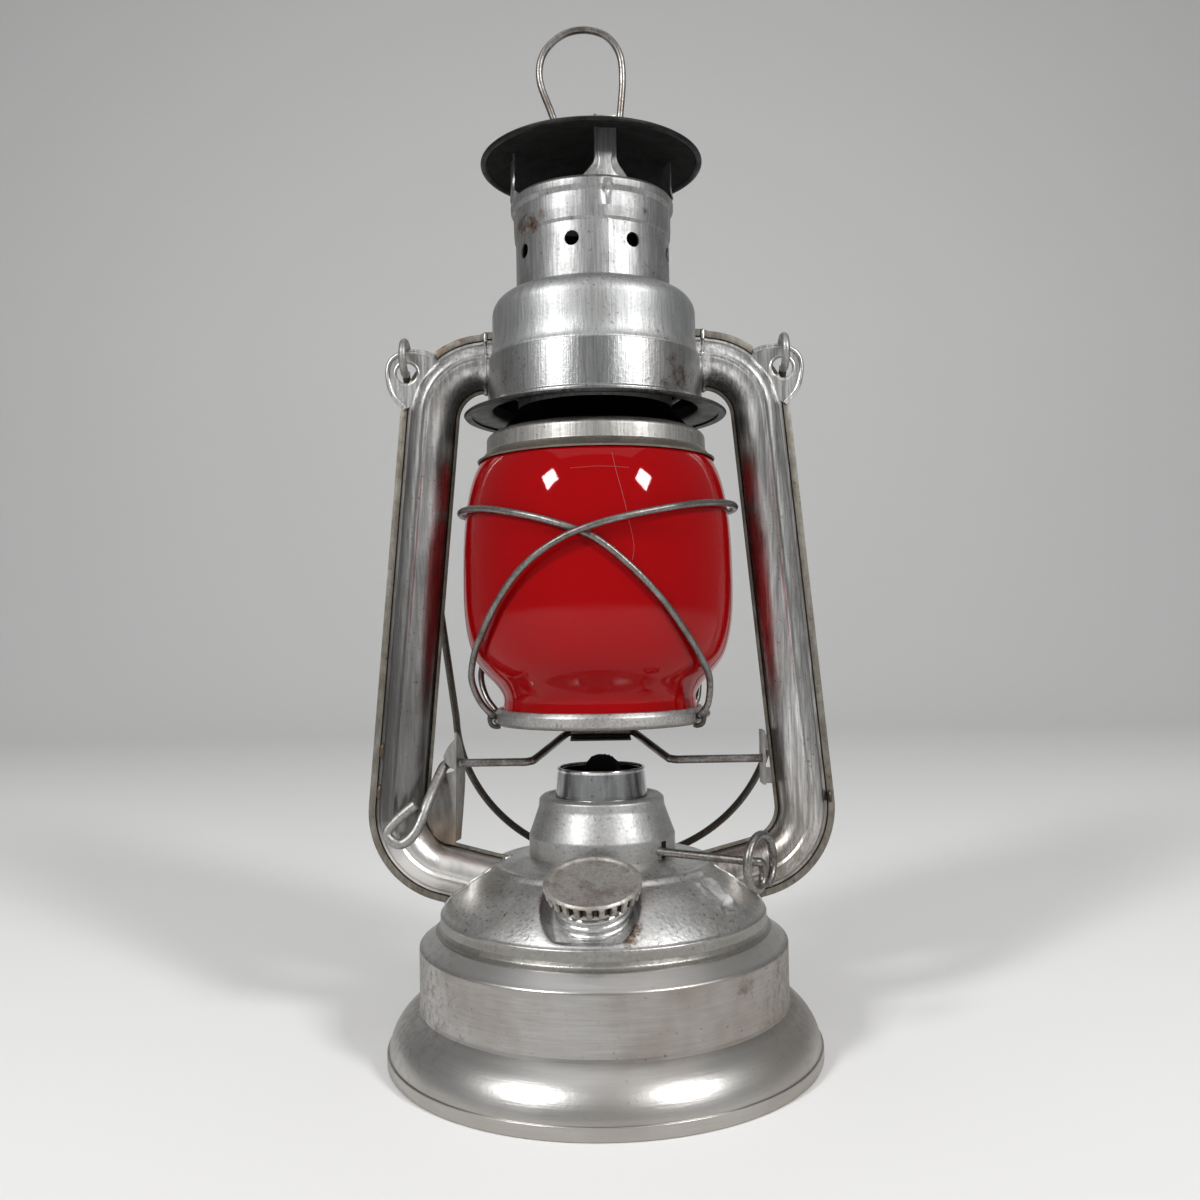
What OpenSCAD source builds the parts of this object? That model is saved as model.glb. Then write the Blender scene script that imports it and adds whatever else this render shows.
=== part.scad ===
// Hurricane lantern with a raised globe, in millimetres.
// The origin is the centre of the foot on the ground, +Z is up and the filler cap faces -Y.

/* [Sheet and wire] */
// Thickness of the drawn sheet
sheet = 0.6; // [0.5:0.05:0.8]
// Thickness of the brackets and the burner deck
plate_t = 0.9; // [0.7:0.1:1.2]
// Radius of the lifter wire
lifter_wire_r = 1.3; // [1.1:0.05:1.5]
// Radius of the bail wire
bail_wire_r = 1.3; // [1.1:0.05:1.5]
// Radius of the guard wires
guard_wire_r = 1.05; // [0.9:0.05:1.2]
// Radius of the pull ring's wire
pull_wire_r = 1.15; // [1:0.05:1.4]
// Radius of the winder's wire
winder_wire_r = 1.3; // [1.1:0.05:1.5]
// Gap between a turning wire and its bearing hole
running_gap = 0.06; // [0.03:0.01:0.1]
// Gap between pieces that slide past each other
slide_gap = 0.3; // [0.25:0.05:0.5]

/* [Tank] */
// Outer radius of the folded rim of the foot
foot_r = 68.5; // [66:0.5:71]
// Height of the folded rim
rim_h = 4; // [3:0.5:5]
// Height of the top of the flared foot
flare_top = 17.3; // [16:0.1:18.5]
// Bulge radius of the flared foot
flare_bulge = 16.5; // [15:0.5:20]
// Radius of the tank wall
body_r = 58.3; // [57:0.1:60]
// Height of the top edge of the tank wall
body_top = 35.5; // [33:0.5:38]
// Height of the sloping shoulder
shoulder_h = 4.2; // [3.5:0.1:5]
// Height of the hollow under the bottom plate
bottom_rise = 3; // [2:0.5:5]

/* [Air dome] */
// Radius of the dome's upright edge
dome_r = 51.7; // [50.5:0.1:53]
// Height of the dome's upright edge
dome_wall = 5.2; // [4.5:0.1:6]
// Rise of the dome from its edge to the burner collar
dome_rise = 17.1; // [15:0.1:19]
// Radius of the dome's curve
dome_bulge = 40; // [36:1:46]

/* [Burner] */
// Radius of the collar's foot
collar_r = 23.3; // [22:0.1:24.5]
// Height of the collar's upright foot
collar_foot = 7; // [6:0.5:8]
// Height of the whole collar
collar_h = 18.6; // [17:0.1:20]
// Radius of the collar's top edge
collar_top_r = 19.8; // [19:0.1:20.5]
// Radius of the burner cap's foot
cap_r = 14.7; // [14:0.1:15.5]
// Height of the burner cap
cap_h = 8.8; // [8:0.1:10]
// Width of the wick
wick_w = 12; // [10:0.5:14]
// Thickness of the wick
wick_t = 2; // [1.6:0.1:2.4]
// Height of the wick above the burner cap
wick_out = 4.2; // [2:0.1:6]
// Turn of the winder from +X towards the front
winder_turn = 33; // [25:1:45]
// Height of the winder's axis above the foot of the collar
winder_rise = 2.6; // [2.2:0.1:4]
// Distance of the finger ring from the lantern's axis
winder_reach = 56; // [52:1:60]
// Radius of the finger ring at the middle of its wire
ring_r = 7.9; // [7:0.1:8.5]

/* [Filler] */
// Lean of the filler neck towards the front
neck_lean = 19.5; // [16:0.5:22]
// Turn of the filler from the front towards the left
neck_turn = 4.2; // [0:0.1:8]
// Distance of the cap's top from the lantern's axis
cap_top_r = 40.6; // [40:0.1:42]
// Height of the cap's top
cap_top_z = 61.8; // [61:0.1:64]
// Radius of the neck inside its thread
neck_r = 10.4; // [9.8:0.1:10.8]
// Height of the thread
thread_h = 0.7; // [0.5:0.1:0.9]
// Pitch of the thread
thread_pitch = 2.5; // [2:0.1:3]
// Radius of the cap
lid_r = 14.2; // [13.6:0.1:15]
// Height of the cap's skirt
lid_h = 4.4; // [3.8:0.1:4.6]
// Number of flutes round the cap
lid_flutes = 24; // [16:1:30]

/* [Air tubes] */
// Radius of the tube
tube_r = 8.2; // [7.6:0.1:8.6]
// Half width of the tube with its seams
seam_w = 9.6; // [9:0.1:10]
// Height of the raised bead along the tube
bead_h = 0.7; // [0.4:0.1:1]
// Height of the tube above the lower edge of the air chamber's band, where it leaves the chamber
tube_rise = 16.3; // [14:0.1:18]
// Bend radius at the top
top_bend = 18.6; // [17:0.1:20]
// Height of the centre of the lower bend
tube_low_z = 75.45; // [74:0.05:77]
// Outward lean of the straight stretch
tube_splay = 5.25; // [4:0.25:6]
// Bend radius at the bottom
low_bend = 19.5; // [18:0.1:21]
// Fall of the tube's foot towards the dome
foot_fall = 15; // [12:1:18]

/* [Bail] */
// Distance of the bail ears from the air chamber's band
ear_out = 26.9; // [26:0.1:28]
// Drop of the hole in the ear below the tube's top
ear_drop = 2.8; // [2:0.1:4]
// Radius of the hole in the ear
ear_hole_r = 3.3; // [3:0.1:3.5]
// Radius of the bail's hooks
hook_r = 5.1; // [4.8:0.1:5.5]
// Backward lean of the hanging bail
bail_lean = 16; // [14:0.5:18]
// Backward step of the bail's legs from their hooks
bail_step = 2; // [1.5:0.1:3]
// Length of the bail's legs
bail_leg = 124.7; // [120:0.5:130]
// Radius of the bail's bow
bail_bow = 56; // [54:0.5:58]
// Sideways shift of the bail's bow
bail_shift = 5; // [0:0.5:6]

/* [Globe lift] */
// Height of the lifter's axis
lift_z = 91; // [90:0.5:92]
// Distance of the crank bar from the axis
crank_r = 26.9; // [26:0.1:28]
// Angle of the crank with the globe raised
crank_up = 14.9; // [14:0.1:16]
// Half length of the crank bar
crank_half = 11.4; // [10.5:0.1:12]
// Half distance between the crank's arms at the axis
crank_foot = 22; // [21:0.5:23]
// Reach of the lever to the left of its bearing
lever_out = 20.6; // [19:0.1:22]
// Reach of the lever in front of the axis
lever_front = 14; // [13:0.1:15]
// Drop of the lever below the axis
lever_drop = 23; // [21:0.1:25]
// Distance of the left bearing from its tube
left_bracket_w = 8.4; // [7:0.1:10]
// Distance of the right bearing from its tube
right_bracket_w = 2.2; // [1.8:0.1:3]
// Height of the globe plate's floor
plate_z = 103.4; // [103:0.1:105]
// Outer radius of the globe plate
plate_r = 33; // [32:0.1:34]
// Radius of the hole in the globe plate
plate_hole_r = 16.5; // [16:0.1:18]

/* [Globe] */
// Largest radius of the globe
globe_r = 43.2; // [42:0.1:43.6]
// Height of the globe's widest place above its foot
globe_belly = 42; // [40:0.5:44]
// Radius of the globe's foot
globe_foot_r = 30.6; // [30:0.1:31]
// Height of the globe's foot
globe_foot_h = 9; // [7:0.5:11]
// Height of the globe's shoulder above its widest place
globe_shoulder = 44; // [42:0.5:46]
// Radius of the globe's top edge
globe_top_r = 33.4; // [32:0.1:33.8]
// Height of the whole globe
globe_h = 90.6; // [89:0.1:91]
// Thickness of the glass
glass_t = 2.4; // [2:0.1:3]
// Height of the guards' top above the plate
guard_h = 68; // [64:0.5:70]

/* [Chimney] */
// Gap between the globe's top edge and the cap over it
globe_cap_gap = 1.1; // [0.8:0.1:1.5]
// Width of the globe cap's lip
globe_lip_w = 3.1; // [2.5:0.1:3.5]
// Height of the globe cap's lip
globe_lip_z = 187.2; // [187:0.1:188]
// Radius of the chimney
chimney_r = 24.8; // [24:0.1:25.4]
// Height of the chimney's top
chimney_top = 269; // [267:0.5:272]
// Number of holes round the chimney
vent_count = 8; // [6:1:12]
// Radius of the holes
vent_r = 2.3; // [1.8:0.1:2.6]
// Height of the holes
vent_z = 252.4; // [250:0.1:256]
// Radius of the hood
hood_r = 36; // [34:0.5:38]
// Height of the hood's edge above the chimney's top
hood_gap = 14.6; // [12:0.1:17]
// Rise of the hood
hood_rise = 8.5; // [6:0.5:11]
// Width of the pull ring
pull_w = 27; // [24:0.5:30]
// Height of the pull ring above the hood's edge
pull_h = 45.6; // [42:0.1:48]
// Width of the hood's posts
post_w = 6; // [5:0.5:7]

/* [Air chamber] */
// Radius of the band
band_r = 34.5; // [34:0.1:35.5]
// Height of the band's lower edge
band_z = 203.5; // [203:0.1:205]
// Height of the band
band_h = 16.2; // [15:0.1:17.5]
// Radius of the chamber dome
crown_r = 32.8; // [32:0.1:33.4]
// Height of the chamber dome above the band
crown_h = 21; // [19:0.1:23]
// Radius of the chamber dome's edge
crown_round = 7; // [6:0.1:7.6]
// Radius of the flange
flange_r = 42.4; // [41:0.1:44]

/* [Hidden] */
$fn = 48;

big = 200;
steel = "#8f8d88";
dark_steel = "#5c5955";
soot = "#242220";
z_dome = body_top + shoulder_h;
z_dome_edge = z_dome + dome_wall;
z_collar = z_dome_edge + dome_rise;
z_burner = z_collar + collar_h;
z_cap = z_burner + cap_h;
z_band_top = band_z + band_h;
z_crown = z_band_top + crown_h;
tube_top_z = band_z + tube_rise;
tube_straight = (tube_top_z - top_bend + (top_bend - low_bend)*sin(tube_splay) - tube_low_z)/cos(tube_splay);
ear_x = band_r + ear_out;
ear_z = tube_top_z - ear_drop;
hood_z = chimney_top + hood_gap;

// Points from p to q on an arc of radius r that bulges away from the lantern's axis and the ground
function arc(p, q, r, n = 8) =
  let (m = (p + q)/2, d = q - p, l = norm(d), h = sqrt(r*r - l*l/4),
       c = m - h*[d.y, -d.x]/l, a = atan2(p.y - c.y, p.x - c.x), b = atan2(q.y - c.y, q.x - c.x))
  [for (i = [0:n]) c + r*[cos(a + (b - a)*i/n), sin(a + (b - a)*i/n)]];

// Solid of revolution under an outline that runs from its lowest outer point to its top
module turned(outline) {
  rotate_extrude() polygon(concat([[0, outline[0].y]], outline, [[0, outline[len(outline) - 1].y]]));
}

// Sheet shell under such an outline, open at the bottom
module drawn(outline, t = sheet) {
  difference() {
    turned(outline);
    turned([for (p = outline) p - [t, t]]);
  }
}

// Smooth points through a list of hand-chosen points
function spline(p, n = 6) =
  let (k = len(p) - 1)
  [for (i = [0:k - 1], j = [0:(i == k - 1 ? n : n - 1)])
    let (a = p[max(i - 1, 0)], b = p[i], c = p[i + 1], d = p[min(i + 2, k)], t = j/n)
    (2*b + (c - a)*t + (2*a - 5*b + 4*c - d)*t*t + (3*b - a - 3*c + d)*t*t*t)/2];

function unit(v) = v/norm(v);
function tangent(p, i, closed) =
  let (n = len(p))
  unit(closed ? p[(i + 1) % n] - p[(i + n - 1) % n] : p[min(i + 1, n - 1)] - p[max(i - 1, 0)]);

// One wire of round section along points, with a side direction that no stretch of it runs along
module wire(p, r, side, closed = false, sides = 8) {
  n = len(p);
  rings = [for (i = [0:n - 1])
    let (t = tangent(p, i, closed), u = unit(cross(t, side)), v = cross(t, u))
    for (k = [0:sides - 1]) p[i] + r*(cos(360*k/sides)*u + sin(360*k/sides)*v)];
  skin = [for (i = [0:(closed ? n - 1 : n - 2)], k = [0:sides - 1])
    let (a = i*sides + k, b = i*sides + (k + 1) % sides, c = ((i + 1) % n)*sides + (k + 1) % sides,
         d = ((i + 1) % n)*sides + k)
    each [[a, c, b], [a, d, c]]];
  ends = closed ? [] : [for (k = [1:sides - 2])
    each [[0, k, k + 1], [(n - 1)*sides, (n - 1)*sides + k + 1, (n - 1)*sides + k]]];
  polyhedron(rings, concat(skin, ends), convexity = 6);
}

// Tank

rim_in = foot_r - sheet;
shoulder_r = dome_r + 0.4;
tank_neck_r = dome_r - sheet;
shell_foot = 1.2;
tank_outline = concat([[rim_in, shell_foot]], arc([rim_in, rim_h], [body_r + 0.2, flare_top], flare_bulge),
  [[body_r, flare_top + 1]], arc([body_r, body_top - 1], [body_r - 1, body_top], 1, 4),
  [[shoulder_r, z_dome], [tank_neck_r, z_dome], [tank_neck_r, z_dome + dome_wall/2]]);

module tank_shell() color(steel) difference() {
  drawn(tank_outline);
  cylinder(r = tank_neck_r - sheet, h = big);
}

module tank_bottom() color(steel) rotate_extrude() polygon(concat(
  [[0, bottom_rise], [foot_r - 6, bottom_rise], [foot_r - 4.5, 0], [foot_r - 0.6, 0]],
  [[foot_r, 0.6], [foot_r, rim_h - 0.5], [foot_r - 0.2, rim_h], [rim_in, rim_h], [rim_in, shell_foot]],
  [[rim_in - sheet, shell_foot], [rim_in - sheet, sheet], [foot_r - 4.1, sheet]],
  [[foot_r - 5.6, bottom_rise + sheet], [0, bottom_rise + sheet]]));

z_tank_top = z_dome + 0.6;
wick_hole_r = wick_w/2 + 3;

module tank_top() color(steel) difference() {
  translate([0, 0, z_tank_top]) cylinder(r = tank_neck_r - sheet, h = sheet);
  translate([0, 0, z_tank_top - 1]) cylinder(r = wick_hole_r, h = 3);
  at_neck() translate([0, 0, -big]) cylinder(r = neck_r, h = 2*big);
}

// Air dome

ridge_r = 34.5;
ridge_w = 1.1;
dome_curve = arc([dome_r - 0.4, z_dome_edge], [collar_r + 1, z_collar], dome_bulge, 12);
dome_outline = concat([[dome_r, z_dome], [dome_r, z_dome_edge - 0.6]], dome_curve);
dome_c = let (p = dome_curve[0], q = dome_curve[12], d = q - p, l = norm(d))
  (p + q)/2 - sqrt(dome_bulge*dome_bulge - l*l/4)*[d.y, -d.x]/l;
ridge_z = dome_c.y + sqrt(dome_bulge*dome_bulge - pow(ridge_r - dome_c.x, 2)) - 0.5;

module air_dome() color(steel) difference() {
  union() {
    drawn(dome_outline);
    rotate_extrude() translate([ridge_r, ridge_z]) circle(ridge_w);
  }
  translate([0, 0, z_collar - 10]) cylinder(r = collar_r - 2, h = 20);
  at_neck() translate([0, 0, -big]) cylinder(r = neck_r, h = 2*big);
  for (s = [0, 1]) mirror([s, 0, 0]) in_tube_plane() tube_foot() circle(tube_r - sheet - 0.2);
}

// Filler

module at_neck()
  rotate(-neck_turn) translate([0, -cap_top_r, cap_top_z]) rotate([neck_lean, 0, 0]) children();

lid_t = 0.9;
gasket_t = 1.4;
neck_top = -lid_t - gasket_t - slide_gap;
neck_len = (cap_top_z - z_tank_top)/cos(neck_lean) + neck_r*tan(neck_lean) + 3;
thread_count = 3;

neck_wall = 1;

// Brings a piece of the lantern into the neck's own frame
module from_neck()
  rotate([-neck_lean, 0, 0]) translate([0, cap_top_r, -cap_top_z]) rotate(neck_turn) children();

module filler_neck() color(steel) difference() {
  at_neck() {
    translate([0, 0, -neck_len]) cylinder(r = neck_r, h = neck_len + neck_top);
    difference() {
      for (i = [0:thread_count - 1])
        translate([0, 0, neck_top - 1.8 - i*thread_pitch]) rotate_extrude()
          polygon([[neck_r - neck_wall, -0.9], [neck_r, -0.9], [neck_r + thread_h, -0.2],
            [neck_r + thread_h, 0.2], [neck_r, 0.9], [neck_r - neck_wall, 0.9]]);
      from_neck() turned(dome_outline);
    }
  }
  at_neck() translate([0, 0, -big]) cylinder(r = neck_r - neck_wall, h = 2*big);
}

module filler_cap() color("#857c6c") at_neck() difference() {
  union() {
    translate([0, 0, -lid_h]) cylinder(r = lid_r, h = lid_h - 0.6);
    translate([0, 0, -0.6]) cylinder(r1 = lid_r, r2 = lid_r - 0.8, h = 0.6);
  }
  translate([0, 0, -lid_h - 1]) cylinder(r = neck_r + thread_h + slide_gap, h = lid_h + 1 - lid_t);
  for (i = [0:lid_flutes - 1]) rotate(i*360/lid_flutes)
    translate([lid_r + 0.55, 0, -lid_h - 1]) cylinder(r = 1.2, h = lid_h);
}

module cap_gasket() color("#3a342c") at_neck() translate([0, 0, -lid_t - gasket_t]) difference() {
  cylinder(r = neck_r + thread_h, h = gasket_t);
  translate([0, 0, -1]) cylinder(r = neck_r - 2.4, h = gasket_t + 2);
}

// Burner

collar_outline = concat([[collar_r, z_collar]],
  arc([collar_r, z_collar + collar_foot], [collar_top_r, z_burner - 1.5], 30, 5),
  arc([collar_top_r, z_burner - 1.5], [collar_top_r - 1.5, z_burner], 1.5, 4));
deck_r = cap_r - 1.2;

module at_winder() rotate(-winder_turn) translate([0, -winder_off, z_collar + winder_rise]) children();

module burner_collar() color(steel) difference() {
  drawn(collar_outline);
  translate([0, 0, z_burner - 3]) cylinder(r = deck_r, h = 6);
  at_winder() rotate([0, 90, 0]) cylinder(r = winder_wire_r + running_gap, h = big);
}

wheel_r = 3;
wick_off = 1;
winder_off = wheel_r + wick_t/2 + 0.15 - wick_off;
wick_tube_gap = 0.35;
tube_wall = 0.6;
bearing_x = -9;
z_deck = z_burner - sheet - plate_t;

module burner_deck() color(dark_steel) difference() {
  union() {
    translate([0, 0, z_deck]) cylinder(r = deck_r + 1.5, h = plate_t);
    rotate(-winder_turn) translate([bearing_x, -winder_off - 3, z_collar + 0.6])
      cube([plate_t, 6, z_deck - z_collar]);
  }
  rotate(-winder_turn) wick_block(wick_tube_gap + tube_wall, z_deck - 1, plate_t + 2);
  for (i = [0:11]) rotate(i*30) translate([deck_r - 2.4, 0, z_deck - 1]) cylinder(r = 1, h = plate_t + 2);
  at_winder() translate([bearing_x - 1, 0, 0]) rotate([0, 90, 0])
    cylinder(r = winder_wire_r + running_gap, h = 4);
}

// Upright block of the wick's section, grown by e on every side
module wick_block(e, z, h)
  translate([-wick_w/2 - e, wick_off - wick_t/2 - e, z]) cube([wick_w + 2*e, wick_t + 2*e, h]);

module burner_cap() color("#a9a6a0") difference() {
  translate([0, 0, z_burner]) cylinder(r1 = cap_r, r2 = cap_r - 1, h = cap_h);
  translate([0, 0, z_burner - 1]) cylinder(r1 = cap_r - sheet, r2 = cap_r - 1 - sheet, h = cap_h + 2);
}

wick_tube_foot = 30;
wick_foot = 11;

module wick_tube() color(dark_steel) rotate(-winder_turn) difference() {
  wick_block(wick_tube_gap + tube_wall, wick_tube_foot, z_cap - 1 - wick_tube_foot);
  wick_block(wick_tube_gap, wick_tube_foot - 1, big);
  translate([-wick_w/2, wick_off - wick_t/2 - 3, z_collar + winder_rise - wheel_r - 0.6])
    cube([wick_w, 3, 2*wheel_r + 1.2]);
}

module wick() color("#1d1a18") rotate(-winder_turn) wick_block(0, wick_foot, z_cap + wick_out - wick_foot);

spur_teeth = 10;
wheel_bore = winder_wire_r;

module spur_wheels() color(dark_steel) at_winder() for (x = [-3.4, 3.4])
  translate([x - 0.6, 0, 0]) rotate([0, 90, 0]) difference() {
    linear_extrude(1.2) polygon([for (i = [0:2*spur_teeth - 1])
      (i % 2 == 0 ? wheel_r : wheel_r - 0.9)*[cos(i*180/spur_teeth), sin(i*180/spur_teeth)]]);
    translate([0, 0, -1]) cylinder(r = wheel_bore, h = 4);
  }

// The wire's end curls from the shaft's axis out to the finger ring
curl_points = concat([for (a = [90:-22.5:-67.5]) ring_r/2*[0, cos(a), sin(a) - 1]],
  [for (a = [-90:-15:-420]) ring_r*[0, cos(a), sin(a)] + [1.6*(-90 - a)/330, 0, 0]]);

module winder() color(dark_steel) at_winder() {
  translate([bearing_x - 1.2, 0, 0]) rotate([0, 90, 0])
    cylinder(r = winder_wire_r, h = winder_reach - bearing_x + 1.2);
  translate([winder_reach, 0, 0]) wire(curl_points, winder_wire_r*0.97, [1, 0, 0]);
}

// Air tubes

top_centre = [band_r + 0.5, tube_top_z - top_bend];
out_dir = [cos(tube_splay), sin(tube_splay)];
down_dir = [sin(tube_splay), -cos(tube_splay)];
top_end = top_centre + top_bend*out_dir;
low_start = top_end + tube_straight*down_dir;
low_centre = low_start - low_bend*out_dir;
foot_turn = -90 + foot_fall;
foot_start = low_centre + low_bend*[cos(foot_turn), sin(foot_turn)];
foot_len = 26;

// Turns a plane drawn in X and Y upright, so that its Y is up and its Z faces the front
module in_tube_plane() rotate([90, 0, 0]) children();

module along(p, heading, l) translate(p) rotate(heading) rotate([90, 0, 90]) linear_extrude(l) children();

module tube_foot()
  along(foot_start - [cos(foot_turn - 90), sin(foot_turn - 90)], foot_turn - 90, foot_len) children();

// The stretches share one turned frame, so that their ends meet exactly
module tube_run() translate(top_centre) rotate(tube_splay) {
  rotate_extrude(angle = 102 - tube_splay) translate([top_bend, 0]) children();
  along([top_bend, 0], -90, tube_straight) children();
  translate([top_bend - low_bend, -tube_straight]) mirror([0, 1, 0])
    rotate_extrude(angle = tube_splay - foot_turn)
    translate([low_bend, 0]) children();
}

// Half section of a tube, grown by e for the socket at its foot;
// front is 1 for the half that faces the front and -1 for the back
module tube_half_section(front, e = 0) difference() {
  union() {
    circle(tube_r + e);
    translate([0, front*(tube_r + bead_h - 1.1)]) circle(1.1 + e);
    translate([-seam_w - e, -sheet - e]) square(2*[seam_w + e, sheet + e]);
  }
  circle(tube_r - sheet - e);
  translate([-big, front > 0 ? -2*big : 0]) square(2*big);
}

crown_skirt = 6;
crown_outline = concat([[band_r - 0.3, z_band_top], [crown_r, z_band_top + crown_skirt]],
  arc([crown_r, z_crown - crown_round], [crown_r - crown_round, z_crown], crown_round, 6));
chamber_outline = concat([[band_r, band_z - 5], [band_r, z_band_top]], crown_outline);

socket = 0.12;

module tube_half(front) difference() {
  in_tube_plane() {
    tube_run() tube_half_section(front);
    tube_foot() tube_half_section(front, socket);
  }
  turned(dome_outline);
  turned(chamber_outline);
}

ear_r = 7;
ear_rim = 1.2;

// Flat outline of the bail ear, with its place drawn in the tube plane
module ear_outline() difference() {
  union() {
    translate([ear_x, ear_z]) circle(ear_r);
    translate([ear_x, ear_z]) polygon(ear_r*[[-1.29, 0.79], [-0.43, 0.9], [0.43, 0.43], [0.79, -0.57],
      [0.21, -1.5], [-0.86, -0.57]]);
  }
  translate(top_centre) circle(top_bend + seam_w);
}

module ear() in_tube_plane() difference() {
  union() {
    translate([0, 0, -sheet]) linear_extrude(sheet) ear_outline();
    translate([0, 0, -sheet - 0.5]) linear_extrude(sheet + 1) intersection() {
      ear_outline();
      translate([ear_x, ear_z]) difference() {
        circle(ear_r);
        circle(ear_r - ear_rim);
      }
    }
  }
  translate([ear_x, ear_z, -5]) cylinder(r = ear_hole_r, h = 10);
}

module left_tube_front() color(steel) mirror([1, 0, 0]) tube_half(1);
module right_tube_front() color(steel) tube_half(1);
module left_tube_back() color(steel) mirror([1, 0, 0]) tube_back();
module right_tube_back() color(steel) tube_back();
module tube_back() {
  tube_half(-1);
  ear();
}

// Lifter brackets

bearing_w = 8;
notch = 2.6;

// Bearing strip across the lifter's axis, with its hole
module bearing(x, z0, z1) difference() {
  translate([x - plate_t/2, -bearing_w/2, z0]) cube([plate_t, bearing_w, z1 - z0]);
  translate([x - 2*plate_t, 0, lift_z]) rotate([0, 90, 0])
    cylinder(r = lifter_wire_r + running_gap, h = 4*plate_t);
}

// Inner edge of the tube at a height
function tube_inner(z) =
  low_start.x - seam_w*out_dir.x + (low_start.y - seam_w*out_dir.y - z)*tan(tube_splay);

left_bearing_x = left_bracket_w - tube_inner(lift_z);
right_bearing_x = tube_inner(lift_z) - right_bracket_w;

module left_bracket() color(dark_steel) {
  bearing(left_bearing_x, low_centre.y - low_bend + seam_w + 1, lift_z + 9.4);
  mirror([1, 0, 0]) in_tube_plane() translate([0, 0, -plate_t/2]) linear_extrude(plate_t) {
    x = -left_bearing_x + plate_t/2;
    intersection() {
      translate(low_centre) circle(low_bend - seam_w);
      translate([x, low_centre.y - big]) square(big);
    }
    z_top = lift_z - notch;
    polygon([[x, low_centre.y], [tube_inner(low_centre.y), low_centre.y], [tube_inner(z_top), z_top],
      [x, z_top]]);
    polygon([[x, lift_z + notch], [x + 4, lift_z + notch], [x + 3.6, lift_z + 5], [x, lift_z + 9]]);
  }
}

module right_bracket() color(dark_steel) {
  bearing(right_bearing_x, lift_z - 8, lift_z + 9);
  in_tube_plane() translate([0, 0, -plate_t/2]) linear_extrude(plate_t) for (z = [lift_z - 8, lift_z + notch])
    polygon([[right_bearing_x + plate_t/2, z], [tube_inner(z), z], [tube_inner(z + 5), z + 5],
      [right_bearing_x + plate_t/2, z + 5]]);
}

// Air chamber

module tube_holes() for (s = [0, 1]) mirror([s, 0, 0])
  translate([0, 0, tube_top_z]) rotate([0, 90, 0]) cylinder(r = tube_r - sheet, h = band_r + 1);

module chamber_band() color(steel) difference() {
  union() {
    translate([0, 0, band_z]) cylinder(r = band_r, h = band_h);
    rotate_extrude() translate([band_r - 0.2, band_z + 0.9]) circle(0.9);
  }
  translate([0, 0, band_z - 1]) cylinder(r = band_r - sheet, h = band_h + 2);
  tube_holes();
}

module chamber_dome() color(steel) difference() {
  drawn(crown_outline);
  translate([0, 0, z_crown - 10]) cylinder(r = chimney_r + slide_gap, h = 20);
  tube_holes();
}

flange_in = band_r - sheet;
flange_neck = 4;
flange_roll = 0.8;

module chamber_flange() color(soot) {
  edge = [flange_r - flange_roll, band_z - 2*flange_roll];
  rotate_extrude() polygon([[flange_in - sheet, band_z - sheet], edge, edge + [0, sheet], [flange_in, band_z],
    [flange_in, band_z + flange_neck], [flange_in - sheet, band_z + flange_neck]]);
  rotate_extrude() translate(edge + [0, sheet/2]) circle(flange_roll);
}

// Chimney

cone_top = band_z + 0.5;
globe_cap_r = globe_top_r + sheet + globe_cap_gap;
globe_lip_r = globe_cap_r + globe_lip_w;
cap_outline = concat([[globe_lip_r, globe_lip_z], [globe_cap_r, globe_lip_z + 2.6]],
  arc([globe_cap_r, globe_lip_z + 6.4], [globe_cap_r - 2, globe_lip_z + 8.6], 2.6, 4),
  [[globe_cap_r - 2.7, globe_lip_z + 9], [chimney_r + 0.1, cone_top]]);

module globe_cap() color(steel) difference() {
  drawn(cap_outline);
  translate([0, 0, cone_top - 20]) cylinder(r = chimney_r - sheet, h = 40);
}

seat_z = cone_top + 2.2;
seat_t = 0.8;
vent_turn = 30.3;

module chimney() color(steel) rotate(vent_turn - 90 - 180/vent_count) difference() {
  union() {
    translate([0, 0, cone_top]) cylinder(r = chimney_r, h = chimney_top - cone_top);
    translate([0, 0, seat_z]) cylinder(r = chimney_r + 4.2, h = seat_t);
  }
  translate([0, 0, cone_top - 1]) cylinder(r = chimney_r - sheet, h = chimney_top - cone_top + 2);
  for (i = [0:vent_count - 1]) rotate((i + 0.5)*360/vent_count)
    translate([0, 0, vent_z]) rotate([0, 90, 0]) cylinder(r = vent_r, h = big);
}

spring_turns = 6;
spring_wire_r = 0.7;
spring_r = chimney_r + 2.6;
spring_z0 = seat_z + seat_t + spring_wire_r + 0.1;
spring_z1 = z_crown - sheet - spring_wire_r - 0.1;
spring_steps = 16*spring_turns;
spring_points = [for (i = [0:spring_steps])
  [spring_r*cos(360*i/16), spring_r*sin(360*i/16), spring_z0 + (spring_z1 - spring_z0)*i/spring_steps]];

module chimney_spring() color(dark_steel) wire(spring_points, spring_wire_r, [0, 0, 1], sides = 6);

spider_r = chimney_r + sheet;
spider_h = 8.4;
post_turn = 10;
hood_outline = concat([[hood_r, hood_z], [hood_r - 0.4, hood_z + 1]],
  arc([hood_r - 2, hood_z + 1.4], [1, hood_z + hood_rise], 110, 8));

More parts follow.
